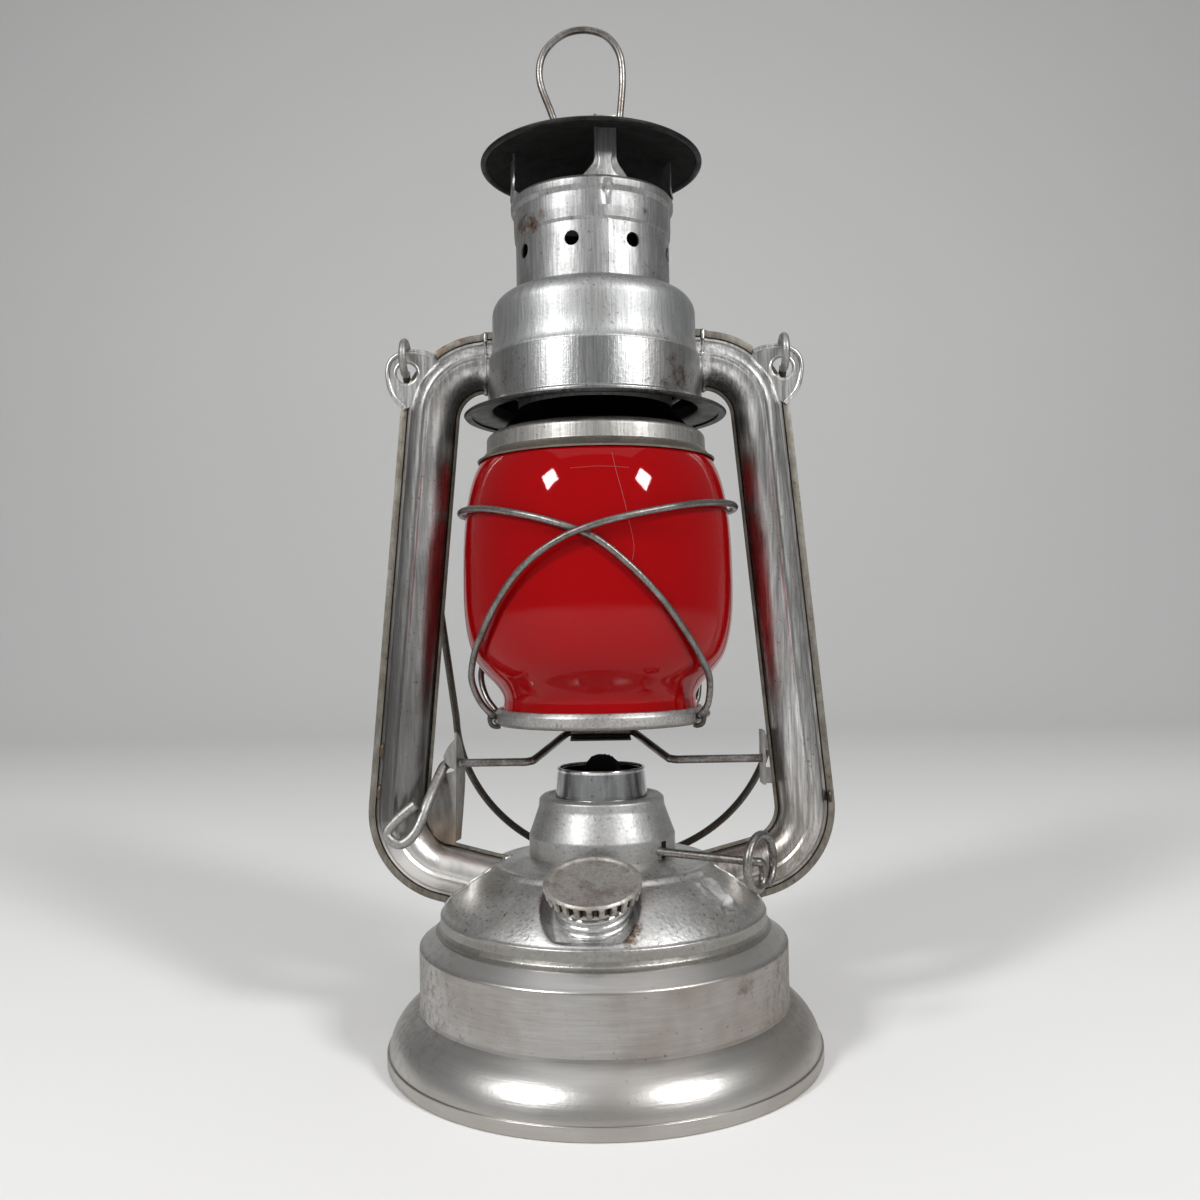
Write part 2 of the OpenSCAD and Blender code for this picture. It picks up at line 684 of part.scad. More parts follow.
module hood_spider() color(steel) difference() {
  intersection() {
    difference() {
      cylinder(r = spider_r, h = hood_z + hood_rise);
      translate([0, 0, -1]) cylinder(r = chimney_r, h = big*2);
    }
    union() {
      translate([0, 0, chimney_top - spider_h]) cylinder(r = big, h = spider_h + 0.6);
      for (i = [0:3]) rotate(i*90 + post_turn) translate([0, 0, chimney_top]) rotate([90, 0, 0])
        linear_extrude(big) polygon(concat([[-post_w, 0], [-post_w, 0.6]],
          [for (a = [90:15:180]) [-post_w, 0.6 + post_w/2] + post_w/2*[-cos(a), -sin(a)]],
          [[-post_w/2, 40], [post_w/2, 40]],
          [for (a = [180:-15:90]) [post_w, 0.6 + post_w/2] + post_w/2*[cos(a), -sin(a)]],
          [[post_w, 0.6], [post_w, 0]]));
    }
  }
  above_hood();
}

// Space above the hood's inner side
module above_hood() rotate_extrude() polygon(concat([for (p = hood_outline) p - [sheet, sheet]],
  [[0, hood_z + hood_rise - sheet], [0, big*2], [hood_r, big*2]]));

ring_foot = pull_w*[-0.37, 0.333];

module hood() color(soot) difference() {
  union() {
    drawn(hood_outline);
    rotate_extrude() translate([hood_r - 1, hood_z]) circle(1);
  }
  for (x = ring_foot) translate([x, 0, hood_z - 2]) cylinder(r = pull_wire_r + 0.05, h = 30);
}

// Bends of the pull ring, in shares of its width and height
ring_bends = [[-0.37, 0.044], [-0.37, 0.22], [-0.467, 0.395], [-0.604, 0.636],
  [-0.563, 0.822], [-0.352, 0.956], [-0.074, 1], [0.204, 0.954],
  [0.363, 0.822], [0.396, 0.636], [0.363, 0.395], [0.333, 0.22], [0.333, 0.044]];
ring_points = spline([for (p = ring_bends) [pull_w*p.x, 0, hood_z + pull_h*p.y]], 4);

module pull_ring() color(dark_steel) wire(ring_points, pull_wire_r, [0, 1, 0]);

// Globe and its carriage

globe_z = plate_z + sheet;
belly_z = globe_z + globe_belly;
foot_top = globe_z + globe_foot_h;
globe_swell = globe_r - globe_foot_r;
shoulder_power = 2.6;

// Outer radius of the globe at a height
function globe_at(z) = z < foot_top ? globe_foot_r
  : z < belly_z ? globe_foot_r + globe_swell*sqrt(1 - pow((belly_z - z)/(belly_z - foot_top), 2))
  : globe_foot_r + globe_swell
    *pow(max(0, 1 - pow((z - belly_z)/globe_shoulder, shoulder_power)), 1/shoulder_power);

shoulder_z = globe_lip_z - 0.7;
globe_outline = concat([[globe_foot_r, globe_z]],
  [for (a = [0:15:90]) let (z = belly_z - (belly_z - foot_top)*cos(a)) [globe_at(z), z]],
  [for (i = [1:5]) let (z = belly_z + (shoulder_z - belly_z)*sin(i*90/5)) [globe_at(z), z]],
  [[globe_top_r + 1, shoulder_z + 1.2], [globe_top_r, shoulder_z + 2.2], [globe_top_r, globe_z + globe_h]]);

module globe() color("#a81217") rotate_extrude() polygon(concat(globe_outline,
  [for (i = [len(globe_outline) - 1:-1:0]) globe_outline[i] - [glass_t, 0]]));

plate_rim = 3.6;
plate_vent_r = 1.3;
plate_vent_ring = 22;

module globe_plate() color(steel) difference() {
  union() {
    translate([0, 0, plate_z]) cylinder(r = plate_r - 0.4, h = sheet);
    rotate_extrude() translate([plate_r, plate_z]) polygon([[-1, 0], [-0.4, 0], [0, 0.4],
      [0, plate_rim - 0.4], [-0.3, plate_rim], [-0.7, plate_rim], [-1, plate_rim - 0.4]]);
  }
  translate([0, 0, plate_z - 1]) cylinder(r = plate_hole_r, h = 4);
  for (i = [0:23]) rotate(i*15 + 7.5) translate([plate_vent_ring, 0, plate_z - 1])
    cylinder(r = plate_vent_r, h = 4);
}

bar_y = crank_r*cos(crank_up);
bar_z = lift_z + crank_r*sin(crank_up);
clip_room = lifter_wire_r + 0.4;
clip_front = 22.2;
clip_back = crank_r + clip_room;

clip_low = bar_z - clip_room - 1;
clip_high = bar_z + clip_room;

module lifter_clip() color(soot) translate([-crank_half + 1, 0, 0]) rotate([90, 0, 90])
  linear_extrude(2*crank_half - 2) polygon([[clip_front, clip_low], [clip_back + sheet, clip_low],
    [clip_back + sheet, plate_z], [clip_back, plate_z], [clip_back, clip_high + sheet],
    [clip_front, clip_high + sheet], [clip_front, clip_high], [clip_back, clip_high],
    [clip_back, clip_low + sheet], [clip_front, clip_low + sheet]]);

guard_low_r = plate_r + guard_wire_r + 0.05;
guard_r = globe_r + guard_wire_r + 0.95;
guard_low = plate_z + 2.6;
guard_rise = guard_h - 2.6;

// Bends of each guard from its low end round the front to its high end: angle, share of the rise
// and share of the way from the plate's edge out to the globe; the left guard crosses outside the right one
left_bends = [[0, 0, 0.01], [12, 0.005, 0.04], [15, 0.08, 0.42], [19, 0.183, 0.7], [27, 0.294, 0.8],
  [38, 0.4, 0.925], [49, 0.54, 1.02], [62, 0.695, 1.07], [76, 0.806, 1.09], [90, 0.872, 1.1],
  [108, 0.925, 1.06], [131, 0.973, 0.973], [156, 0.997, 0.93], [180, 1, 0.928]];
right_bends = [[0, 0, 0.02], [14, 0, 0.02], [26, 0, 0.02], [29, 0.06, 0.33], [32.5, 0.17, 0.5],
  [44, 0.28, 0.71], [55, 0.405, 0.865], [67, 0.562, 0.935], [79, 0.703, 0.93], [91, 0.816, 0.905],
  [104, 0.879, 0.892], [121, 0.935, 0.888], [146, 0.982, 0.882], [180, 0.99, 0.876]];

// Closed loop through such bends and back behind the globe, with its low end on one side
function guard_points(side, bends) =
  let (half = spline(bends, 2), n = len(half) - 1)
  [for (i = [0:2*n - 1])
    let (p = half[i <= n ? i : 2*n - i], r = guard_low_r + (guard_r - guard_low_r)*p.z)
    [side*r*cos(p.x), (i <= n ? -r : r)*sin(p.x), guard_low + guard_rise*p.y]];

module guard(side, bends) color(dark_steel)
  wire(guard_points(side, bends), guard_wire_r, [0, 0, 1], closed = true, sides = 6);

module guard_left() guard(-1, left_bends);
module guard_right() guard(1, right_bends);

// Lifter

// Bends of the lever, in shares of its reach to the left, its reach to the front and its drop
lever_bends = [[0.155, 0, 0], [0.223, 0.086, 0.043], [0.291, 0.314, 0.191], [0.408, 0.75, 0.478],
  [0.573, 0.957, 0.843], [0.801, 1, 1], [1, 1, 0.87], [0.845, 0.986, 0.678], [0.573, 0.971, 0.478]];
lever_points = concat([[left_bearing_x - 1, 0, lift_z]], spline([for (p = lever_bends)
  [left_bearing_x - lever_out*p.x, -lever_front*p.y, lift_z - lever_drop*p.z]], 5));
arm_points = concat([[crank_foot + 5, 0, lift_z]], spline([[crank_foot + 2.4, 0, lift_z],
  [crank_foot + 0.6, 0.8, lift_z + 0.2], [crank_foot - 1, 3, lift_z + 0.8],
  [crank_half + 1.4, bar_y - 4, bar_z - 1], [crank_half, bar_y - 0.8, bar_z - 0.2],
  [crank_half - 2, bar_y, bar_z]], 4));
crank_points = concat([for (p = arm_points) [-p.x, p.y, p.z]],
  [for (i = [len(arm_points) - 1:-1:0]) arm_points[i]]);
facet_r = lifter_wire_r*0.97;

module lifter() color(dark_steel) {
  translate([left_bearing_x - 2.6, 0, lift_z]) rotate([0, 90, 0])
    cylinder(r = lifter_wire_r, h = -crank_foot - 0.4 - left_bearing_x);
  translate([crank_foot + 3, 0, lift_z]) rotate([0, 90, 0])
    cylinder(r = lifter_wire_r, h = right_bearing_x - crank_foot - 1.8);
  wire(lever_points, facet_r, [1, -1, 0.2]);
  wire(crank_points, facet_r, [0, -0.5, 1]);
}

// Bail

hook_z = ear_z + hook_r;
hook_sweep = 262;
leg_dir = [0, sin(bail_lean), -cos(bail_lean)];

leg_back = [0, cos(bail_lean), sin(bail_lean)];

// Point of the bail at a distance x across and l along its legs from the hooks' axis, and b behind it
function on_bail(x, l, b = bail_step) = [x, 0, hook_z] + l*leg_dir + b*leg_back;

bow_steps = 24;
bail_points = concat([on_bail(-ear_x, hook_r - 0.6, 0), on_bail(-ear_x + 0.4, 14)],
  [for (i = [0:bow_steps]) let (a = 180*i/bow_steps)
    on_bail(bail_shift - bail_bow*cos(a), bail_leg + bail_bow*sin(a))],
  [on_bail(ear_x - 0.4, 14), on_bail(ear_x, hook_r - 0.6, 0)]);

module hook() translate([0, 0, hook_z]) rotate([90, 0, 90]) rotate(bail_lean - 90 - hook_sweep)
  rotate_extrude(angle = hook_sweep) translate([hook_r, 0]) circle(bail_wire_r);

module bail() color(dark_steel) {
  for (x = [-ear_x, ear_x]) translate([x, 0, 0]) hook();
  wire(bail_points, bail_wire_r*0.98, [0, 1, 0.3]);
}

tank_shell();
tank_bottom();
tank_top();
air_dome();
filler_neck();
burner_collar();
burner_deck();
burner_cap();
wick_tube();
left_tube_front();
left_tube_back();
right_tube_front();
right_tube_back();
left_bracket();
right_bracket();
chamber_band();
chamber_dome();
chamber_flange();
chimney_spring();
wick();
winder();
spur_wheels();
filler_cap();
cap_gasket();
lifter();
globe_plate();
lifter_clip();
guard_left();
guard_right();
globe();
globe_cap();
chimney();
hood_spider();
hood();
pull_ring();
bail();
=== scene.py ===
import bmesh
import bpy
import math
from math import atan2, cos, hypot, pi, radians, sin, sqrt
from mathutils import Matrix, Vector


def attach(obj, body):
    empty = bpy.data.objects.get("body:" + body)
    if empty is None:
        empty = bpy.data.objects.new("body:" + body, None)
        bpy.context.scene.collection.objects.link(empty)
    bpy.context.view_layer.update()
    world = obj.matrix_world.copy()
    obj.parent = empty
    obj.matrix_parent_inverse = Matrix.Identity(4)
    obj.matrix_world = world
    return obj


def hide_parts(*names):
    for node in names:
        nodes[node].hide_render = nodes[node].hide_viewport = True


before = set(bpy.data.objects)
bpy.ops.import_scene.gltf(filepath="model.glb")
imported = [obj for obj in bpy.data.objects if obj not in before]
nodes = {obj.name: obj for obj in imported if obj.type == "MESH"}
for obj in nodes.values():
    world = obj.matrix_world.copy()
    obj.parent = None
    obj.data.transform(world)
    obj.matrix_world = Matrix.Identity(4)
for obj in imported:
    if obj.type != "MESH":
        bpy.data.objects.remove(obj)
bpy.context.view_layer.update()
scene = bpy.context.scene
scene.view_settings.view_transform = "Standard"
mm = 0.001
print("frame loaded,", len(nodes), "nodes")


def addObject(name, data):
    made = bpy.data.objects.new(name, data)
    scene.collection.objects.link(made)
    return made


# camera and light

viewSettings = {
    "place": (0.55, -364.45, 132.8),  # mm
    "lookUp": 1.55,
    "roll": -0.95,
    "lens": 33.9,
}

camera = addObject("photoCamera", bpy.data.cameras.new("photoCamera"))
camera.data.sensor_width = 36
camera.data.lens = viewSettings["lens"]
camera.data.clip_start = 0.01
camera.matrix_world = (
    Matrix.Translation(Vector(viewSettings["place"]) * mm)
    @ Matrix.Rotation(radians(90 + viewSettings["lookUp"]), 4, "X")
    @ Matrix.Rotation(radians(viewSettings["roll"]), 4, "Z")
)
scene.camera = camera

lightSettings = {
    "lampPlaces": [(-0.904, -0.956, 0.963), (0.925, -0.956, 0.937)],  # two diamonds on the globe
    "lampSide": 0.27,
    "lampPower": 14.5,
    "topPlace": (0, -0.1, 1.5),
    "topSide": 1.5,
    "topPower": 5,
    "world": (0.9, 0.91, 0.92),
    "worldStrength": 0.24,
    "aim": (0, 0, 0.15),
}


def addLamp(name, place, side, power, turn=0.0):
    data = bpy.data.lights.new(name, "AREA")
    data.shape = "SQUARE"
    data.size = side
    data.energy = power
    lamp = addObject(name, data)
    aim = (Vector(lightSettings["aim"]) - Vector(place)).to_track_quat("-Z", "Y").to_matrix().to_4x4()
    lamp.matrix_world = Matrix.Translation(place) @ aim @ Matrix.Rotation(turn, 4, "Z")


for number, place in enumerate(lightSettings["lampPlaces"]):
    addLamp("studioLamp%d" % number, place, lightSettings["lampSide"], lightSettings["lampPower"], pi / 4)
addLamp("ceilingPanel", lightSettings["topPlace"], lightSettings["topSide"], lightSettings["topPower"])

world = bpy.data.worlds.new("studioWorld")
scene.world = world
world.use_nodes = True
sky = world.node_tree.nodes["Background"]
sky.inputs["Color"].default_value = (*lightSettings["world"], 1)
sky.inputs["Strength"].default_value = lightSettings["worldStrength"]

# materials


def feed(tree, made, inputs):
    for key, value in inputs.items():
        if isinstance(value, bpy.types.NodeSocket):
            tree.links.new(value, made.inputs[key])
        else:
            made.inputs[key].default_value = value


def put(tree, kind, inputs=None, **settings):
    made = tree.nodes.new(kind)
    for key, value in settings.items():
        setattr(made, key, value)
    feed(tree, made, inputs or {})
    return made


def startMaterial(name):
    material = bpy.data.materials.new(name)
    material.use_nodes = True
    tree = material.node_tree
    place = put(tree, "ShaderNodeTexCoord").outputs["Object"]
    return material, tree, tree.nodes["Principled BSDF"], place


def noiseAt(tree, place, scale, detail=4.0, rough=0.55, stretch=None):
    if stretch:
        place = put(tree, "ShaderNodeMapping", {"Vector": place, "Scale": stretch}).outputs["Vector"]
    inputs = {"Vector": place, "Scale": scale, "Detail": detail, "Roughness": rough}
    return put(tree, "ShaderNodeTexNoise", inputs).outputs["Fac"]


def between(tree, value, low, high, start=0.0, end=1.0):
    inputs = {"Value": value, "From Min": low, "From Max": high, "To Min": start, "To Max": end}
    return put(tree, "ShaderNodeMapRange", inputs).outputs["Result"]


def blendColor(tree, amount, first, second):
    mixed = put(tree, "ShaderNodeMix", data_type="RGBA")
    a, b = (c if isinstance(c, bpy.types.NodeSocket) else (*c, 1) for c in (first, second))
    feed(tree, mixed, {0: amount, 6: a, 7: b})
    return mixed.outputs[2]


def combine(tree, kind, first, second):
    return put(tree, "ShaderNodeMath", {0: first, 1: second}, operation=kind).outputs[0]


def addBump(tree, shader, height, strength, depth=0.0004):
    bump = put(tree, "ShaderNodeBump", {"Height": height, "Strength": strength, "Distance": depth})
    feed(tree, shader, {"Normal": bump.outputs["Normal"]})


tinLook = {
    "light": (0.52, 0.525, 0.53),
    "dark": (0.33, 0.33, 0.33),
    "patina": (0.22, 0.195, 0.165),
    "patinaShare": 0.4,
    "cloudScale": 55,
    "grain": 1300,
    "stretch": (1, 1, 0.06),
    "broadColor": (0.17, 0.165, 0.16),
    "broadShare": 0.0,
    "broadScale": 170,
    "broadStretch": (1, 1, 0.07),
    "rough": (0.4, 0.58),
    "bump": 0.16,
    "speckScale": 900,
    "speckFrom": 0.64,
    "speckShare": 0.6,
    "speckColor": (0.03, 0.028, 0.025),
    "rust": [],  # place in mm, reach in mm, share; rust spots, and patches of painted shade on the tank and the chamber flange
    "rustColor": (0.11, 0.05, 0.022),
    "heights": [],  # from and to in mm, share, tint
    "waver": 3.0,
    "metal": 1.0,
    "specular": 0.5,
}


def metalFinish(name, **changes):
    look = {**tinLook, **changes}
    material, tree, shader, place = startMaterial(name)
    streaks = noiseAt(tree, place, look["grain"], 4, 0.6, look["stretch"])
    broad = noiseAt(tree, place, look["broadScale"], 3, 0.6, look["broadStretch"])
    clouds = noiseAt(tree, place, look["cloudScale"], 4, 0.6)
    specks = noiseAt(tree, place, look["speckScale"], 2, 0.5)
    color = blendColor(tree, between(tree, streaks, 0.32, 0.7), look["light"], look["dark"])
    # broad streaks: wear, and painted reflections on the shiny burner-cap finish
    wearAndReflection = between(tree, broad, 0.46, 0.68, 0, look["broadShare"])
    color = blendColor(tree, wearAndReflection, color, look["broadColor"])
    patina = combine(tree, "MULTIPLY", between(tree, clouds, 0.46, 0.72), look["patinaShare"])
    color = blendColor(tree, patina, color, look["patina"])
    spots = between(tree, specks, look["speckFrom"], look["speckFrom"] + 0.06, 0, look["speckShare"])
    spots = combine(tree, "MULTIPLY", spots, between(tree, clouds, 0.35, 0.6))
    color = blendColor(tree, spots, color, look["speckColor"])
    ragged = between(tree, noiseAt(tree, place, 420, 5, 0.75), 0.3, 0.62, 0, 0.75)
    # patches tinted towards the patch colour: rust, and painted shade on the tank's sides and the chamber
    # flange
    for x, y, z, reach, share in look["rust"]:
        spot = Vector((x, y, z)) * mm
        far = put(tree, "ShaderNodeVectorMath", {0: place, 1: spot}, operation="DISTANCE").outputs["Value"]
        patch = combine(tree, "SUBTRACT", between(tree, far, 0, reach * mm, 1, 0), ragged)
        color = blendColor(tree, between(tree, patch, 0.0, 0.5, 0, share), color, look["rustColor"])
    # tint bands by height; on the tank, the tubes and the globe cap these are partly painted highlight,
    # shade and reflection
    for low, high, share, tint in look["heights"]:
        level = put(tree, "ShaderNodeSeparateXYZ", {0: place}).outputs["Z"]
        waver = look["waver"] * mm
        level = combine(tree, "ADD", level, between(tree, clouds, 0.3, 0.7, -waver, waver))
        color = blendColor(tree, between(tree, level, low * mm, high * mm, 0, share), color, tint)
    wear = combine(tree, "ADD", broad, combine(tree, "MULTIPLY", clouds, 0.5))
    feed(tree, shader, {
        "Base Color": color, "Metallic": look["metal"], "Specular IOR Level": look["specular"],
        "Roughness": between(tree, wear, 0.5, 1.0, *look["rough"]),
    })
    height = combine(tree, "ADD", streaks, combine(tree, "MULTIPLY", specks, 0.6))
    addBump(tree, shader, height, look["bump"])
    return material


evenGrain = (1, 1, 1)
warmReflectionBrown = (0.2, 0.15, 0.1)
sootAndShadeBlack = (0.012, 0.0115, 0.011)
softStreaks = (1, 1, 0.3)
chamberTin = metalFinish(
    "chamberTin", light=(0.46, 0.465, 0.47), dark=(0.32, 0.32, 0.32), broadShare=0.3,
    broadStretch=softStreaks, broadScale=90, rough=(0.42, 0.54))
bandTin = metalFinish(
    "bandTin", light=(0.48, 0.485, 0.49), dark=(0.3, 0.3, 0.3), broadShare=0.35, broadScale=90,
    broadStretch=softStreaks, rough=(0.27, 0.4),
    rust=[(27, -23, 209, 8, 0.9), (24, -26, 214, 6, 0.6), (22, -27.5, 206, 5, 0.6),
          (31, -16, 212, 4, 0.4)])
chimneyTin = metalFinish(
    "chimneyTin", light=(0.43, 0.432, 0.438), dark=(0.26, 0.26, 0.258), broadShare=0.45, broadScale=110,
    broadStretch=softStreaks, rough=(0.4, 0.54), patina=(0.17, 0.155, 0.13), patinaShare=0.5,
    cloudScale=130,
    rust=[(-19, -16.5, 259.5, 7, 1.0), (-22, -11, 260.5, 7, 0.9), (-15, -20, 261, 4, 0.7),
          (17, -19, 262, 2.5, 0.8)])
# globe cap: black above z 196, in the gap under the flange: soot and painted shade
ringTin = metalFinish(
    "globeRingTin", light=(0.47, 0.46, 0.44), dark=(0.3, 0.29, 0.27), broadShare=0.35,
    heights=[(195.6, 196.4, 1.0, sootAndShadeBlack), (190.2, 188.8, 0.6, (0.16, 0.12, 0.08))], waver=0.3)
tubeLook = {
    "dark": (0.33, 0.325, 0.32), "broadShare": 0.8, "broadColor": (0.12, 0.116, 0.112),
    "patinaShare": 0.4, "cloudScale": 60, "rough": (0.29, 0.44),
}
# right tube, ears and collars: the lighter of the two tube copies; browner from z 104 down to 62, a painted
# warm reflection
tubeTin = metalFinish("tubeTin", light=(0.86, 0.855, 0.85), heights=[(104, 62, 0.42, warmReflectionBrown)], **tubeLook)
# left tube: a darker copy of the tube finish, painted shade; darker again from z 170 down to 110; lighter
# from z 75 down to 61, a painted highlight on the foot bend
leftTubeShadeHighlightTin = metalFinish(
    "leftTubeShadeHighlightTin", light=(0.7, 0.695, 0.69), **tubeLook,
    heights=[(170, 110, 0.78, (0.1, 0.095, 0.091)), (75, 61, 0.9, (0.84, 0.82, 0.79))])
flangeTin = metalFinish(
    "flangeTin", light=(0.27, 0.255, 0.225), dark=(0.15, 0.138, 0.118), patina=(0.11, 0.075, 0.045),
    patinaShare=0.6, cloudScale=150, stretch=softStreaks, grain=700,
    rust=[(-50, 0, 226, 6, 0.9), (-44, 0, 228, 5, 0.8), (-56, 0, 222, 4, 0.6)])
seamTin = metalFinish(
    "seamTin", light=(0.15, 0.125, 0.1), dark=(0.07, 0.055, 0.042), patina=(0.09, 0.05, 0.03),
    patinaShare=0.9, cloudScale=130, stretch=softStreaks, grain=600)
domeTin = metalFinish(
    "domeTin", stretch=evenGrain, grain=900, light=(0.64, 0.64, 0.635), dark=(0.44, 0.435, 0.425),
    patina=(0.24, 0.22, 0.185), patinaShare=0.5, cloudScale=45, rough=(0.33, 0.47),
    rust=[(9, -46, 49, 6, 0.9), (7, -49, 47, 5, 0.9), (-13, -44, 50, 4, 0.5)],
    heights=[(45.8, 43.8, 0.68, (0.22, 0.205, 0.18))], waver=0.6)
# tank: the two wide side patches paint a darker brown reflection on the left and right; lighter on the flare
# below z 17.5 and on the shoulder above z 35.2, painted highlight; browner below z 9, painted reflection;
# the two small patches are rust
tankTin = metalFinish(
    "tankTin", light=(0.47, 0.46, 0.45), dark=(0.39, 0.375, 0.36), stretch=(0.05, 0.05, 1), grain=1500,
    patina=(0.24, 0.19, 0.145), patinaShare=0.65, cloudScale=24, speckFrom=0.68, speckShare=0.5,
    broadShare=0.5, broadScale=26, broadStretch=(1, 1, 0.12), broadColor=(0.24, 0.21, 0.18), bump=0.1,
    rough=(0.3, 0.44), rustColor=(0.14, 0.108, 0.08),
    rust=[(-60, -4, 26, 64, 0.85), (60, -4, 26, 60, 0.75), (40, -42, 31, 7, 0.6), (-66, -12, 6, 8, 0.5)],
    heights=[(17.5, 15.5, 0.4, (0.58, 0.57, 0.55)), (9, 0, 0.3, (0.3, 0.25, 0.19)),
             (35.2, 36.4, 0.55, (0.66, 0.66, 0.65))], waver=0.4)
burnerTin = metalFinish(
    "burnerTin", light=(0.46, 0.46, 0.46), dark=(0.35, 0.35, 0.345), stretch=evenGrain, grain=1100,
    rough=(0.42, 0.58), heights=[(70, 62, 0.45, (0.27, 0.26, 0.24))])
# burner cap and spur wheels: dark broad streaks over a very light base, painted reflections
shinyReflectionStreakTin = metalFinish(
    "shinyReflectionStreakTin", light=(0.86, 0.87, 0.88), dark=(0.7, 0.7, 0.7), rough=(0.1, 0.24), bump=0.04,
    patinaShare=0.15, broadShare=0.95, broadScale=120, broadColor=(0.07, 0.072, 0.075))
rimTin = metalFinish(
    "plateRimTin", light=(0.56, 0.55, 0.53), stretch=evenGrain, rough=(0.36, 0.54),
    heights=[(105.0, 103.2, 0.75, (0.15, 0.11, 0.075))], waver=0.6)
wireSteel = metalFinish(
    "wireSteel", light=(0.32, 0.31, 0.3), dark=(0.15, 0.142, 0.13), patina=(0.09, 0.065, 0.045),
    patinaShare=0.7, cloudScale=110, stretch=evenGrain, rough=(0.3, 0.46))
leverSteel = metalFinish(
    "leverSteel", light=(0.4, 0.395, 0.385), dark=(0.26, 0.255, 0.245), stretch=evenGrain,
    rough=(0.42, 0.56))
bracketSteel = metalFinish(
    "bracketSteel", light=(0.36, 0.35, 0.34), dark=(0.22, 0.21, 0.195), grain=600, stretch=softStreaks,
    patina=(0.2, 0.145, 0.09), patinaShare=0.7, heights=[(78, 66, 0.75, (0.3, 0.215, 0.14))])
bailSteel = metalFinish(
    "bailSteel", light=(0.13, 0.12, 0.105), dark=(0.055, 0.05, 0.043), patina=(0.1, 0.065, 0.04),
    stretch=evenGrain, rough=(0.34, 0.5))
# near-black: soot on the linings, the hood's underside, the burner deck and the wick tube, and painted shade
# for the winder slot
sootAndShadeSteel = metalFinish(
    "sootAndShadeSteel", light=(0.013, 0.0127, 0.0123), dark=(0.005, 0.0049, 0.0047), grain=260,
    patina=(0.018, 0.016, 0.014), stretch=evenGrain, rough=(0.7, 0.9), metal=0.0, specular=0.08, bump=0.2)
hoodSteel = metalFinish(
    "hoodSteel", light=(0.032, 0.0314, 0.0307), dark=(0.011, 0.0108, 0.0105), grain=260,
    patina=(0.03, 0.027, 0.024), stretch=evenGrain, rough=(0.34, 0.6), metal=0.9)
# chamber flange: patches blacken its underside and leave its ends grey: soot and painted shade
flangeSteel = metalFinish(
    "flangeSteel", light=(0.12, 0.118, 0.115), dark=(0.05, 0.049, 0.047), grain=420, stretch=evenGrain,
    patina=(0.04, 0.038, 0.035), patinaShare=0.8, rustColor=sootAndShadeBlack,
    rust=[(x, y, 201, 34, 1.0) for x in (-14, 14) for y in (-34, 34)] + [(0, 0, 201, 52, 0.85)])
# lifter clip: near-black, painted shade, as it sits in shadow at the back of the plate
shadedClipSteel = metalFinish(
    "shadedClipSteel", light=(0.1, 0.098, 0.095), dark=(0.05, 0.048, 0.046), grain=420, stretch=evenGrain,
    rough=(0.4, 0.6))
capTin = metalFinish(
    "capTin", light=(0.5, 0.485, 0.46), dark=(0.33, 0.315, 0.29), patina=(0.17, 0.14, 0.105),
    patinaShare=0.85, cloudScale=120, grain=900, stretch=evenGrain, rough=(0.38, 0.52), metal=0.7)
grooveTin = metalFinish(
    "capGrooveTin", light=(0.12, 0.085, 0.058), dark=(0.06, 0.042, 0.03), patina=(0.1, 0.055, 0.03),
    patinaShare=0.7, cloudScale=200, stretch=evenGrain, rough=(0.5, 0.65))


def glassFinish():
    material, tree, shader, place = startMaterial("rubyGlass")
    shade = noiseAt(tree, place, 18, 2, 0.4, (1, 1, 0.5))
    color = blendColor(tree, between(tree, shade, 0.35, 0.7), (0.44, 0.002, 0.004), (0.37, 0.0014, 0.003))
    feed(tree, shader, {
        "Base Color": color, "Roughness": 0.04, "IOR": 1.35, "Specular IOR Level": 0.25,
        "Transmission Weight": 0.42,
    })
    addBump(tree, shader, noiseAt(tree, place, 30, 2), 0.03, 0.001)
    return material


def clothFinish():
    material, tree, shader, place = startMaterial("charredCotton")
    weave = put(tree, "ShaderNodeTexWave", {"Vector": place, "Scale": 900, "Distortion": 2.0, "Detail": 2})
    weave = weave.outputs["Fac"]
    level = put(tree, "ShaderNodeSeparateXYZ", {0: place}).outputs["Z"]
    color = blendColor(tree, weave, (0.32, 0.27, 0.2), (0.2, 0.165, 0.12))
    color = blendColor(tree, between(tree, level, 0.07, 0.086), color, (0.008, 0.0075, 0.007))
    feed(tree, shader, {"Base Color": color, "Roughness": 0.95})
    addBump(tree, shader, weave, 0.6)
    return material


def grainFinish(name, first, second, scale, rough):
    material, tree, shader, place = startMaterial(name)
    color = blendColor(tree, noiseAt(tree, place, scale, 4, 0.7), first, second)
    feed(tree, shader, {"Base Color": color, "Roughness": rough})
    return material


rubyGlass = glassFinish()
charredCotton = clothFinish()
corkGasket = grainFinish("corkGasket", (0.09, 0.07, 0.05), (0.03, 0.026, 0.022), 900, 0.85)
crackGlass = grainFinish("crackLine", (0.34, 0.08, 0.07), (0.24, 0.02, 0.018), 500, 0.5)
paleSweep = grainFinish("paleSweep", (0.78, 0.778, 0.77), (0.765, 0.763, 0.755), 3, 0.85)
print("materials made")

# modelling helpers


def polar(radius, degrees):
    return radius * cos(radians(degrees)), radius * sin(radians(degrees))


def smoothStep(value, start, end):
    t = min(1.0, max(0.0, (value - start) / (end - start)))
    return t * t * (3 - 2 * t)


def hump(value, width):
    return math.exp(-(value / width) ** 2)


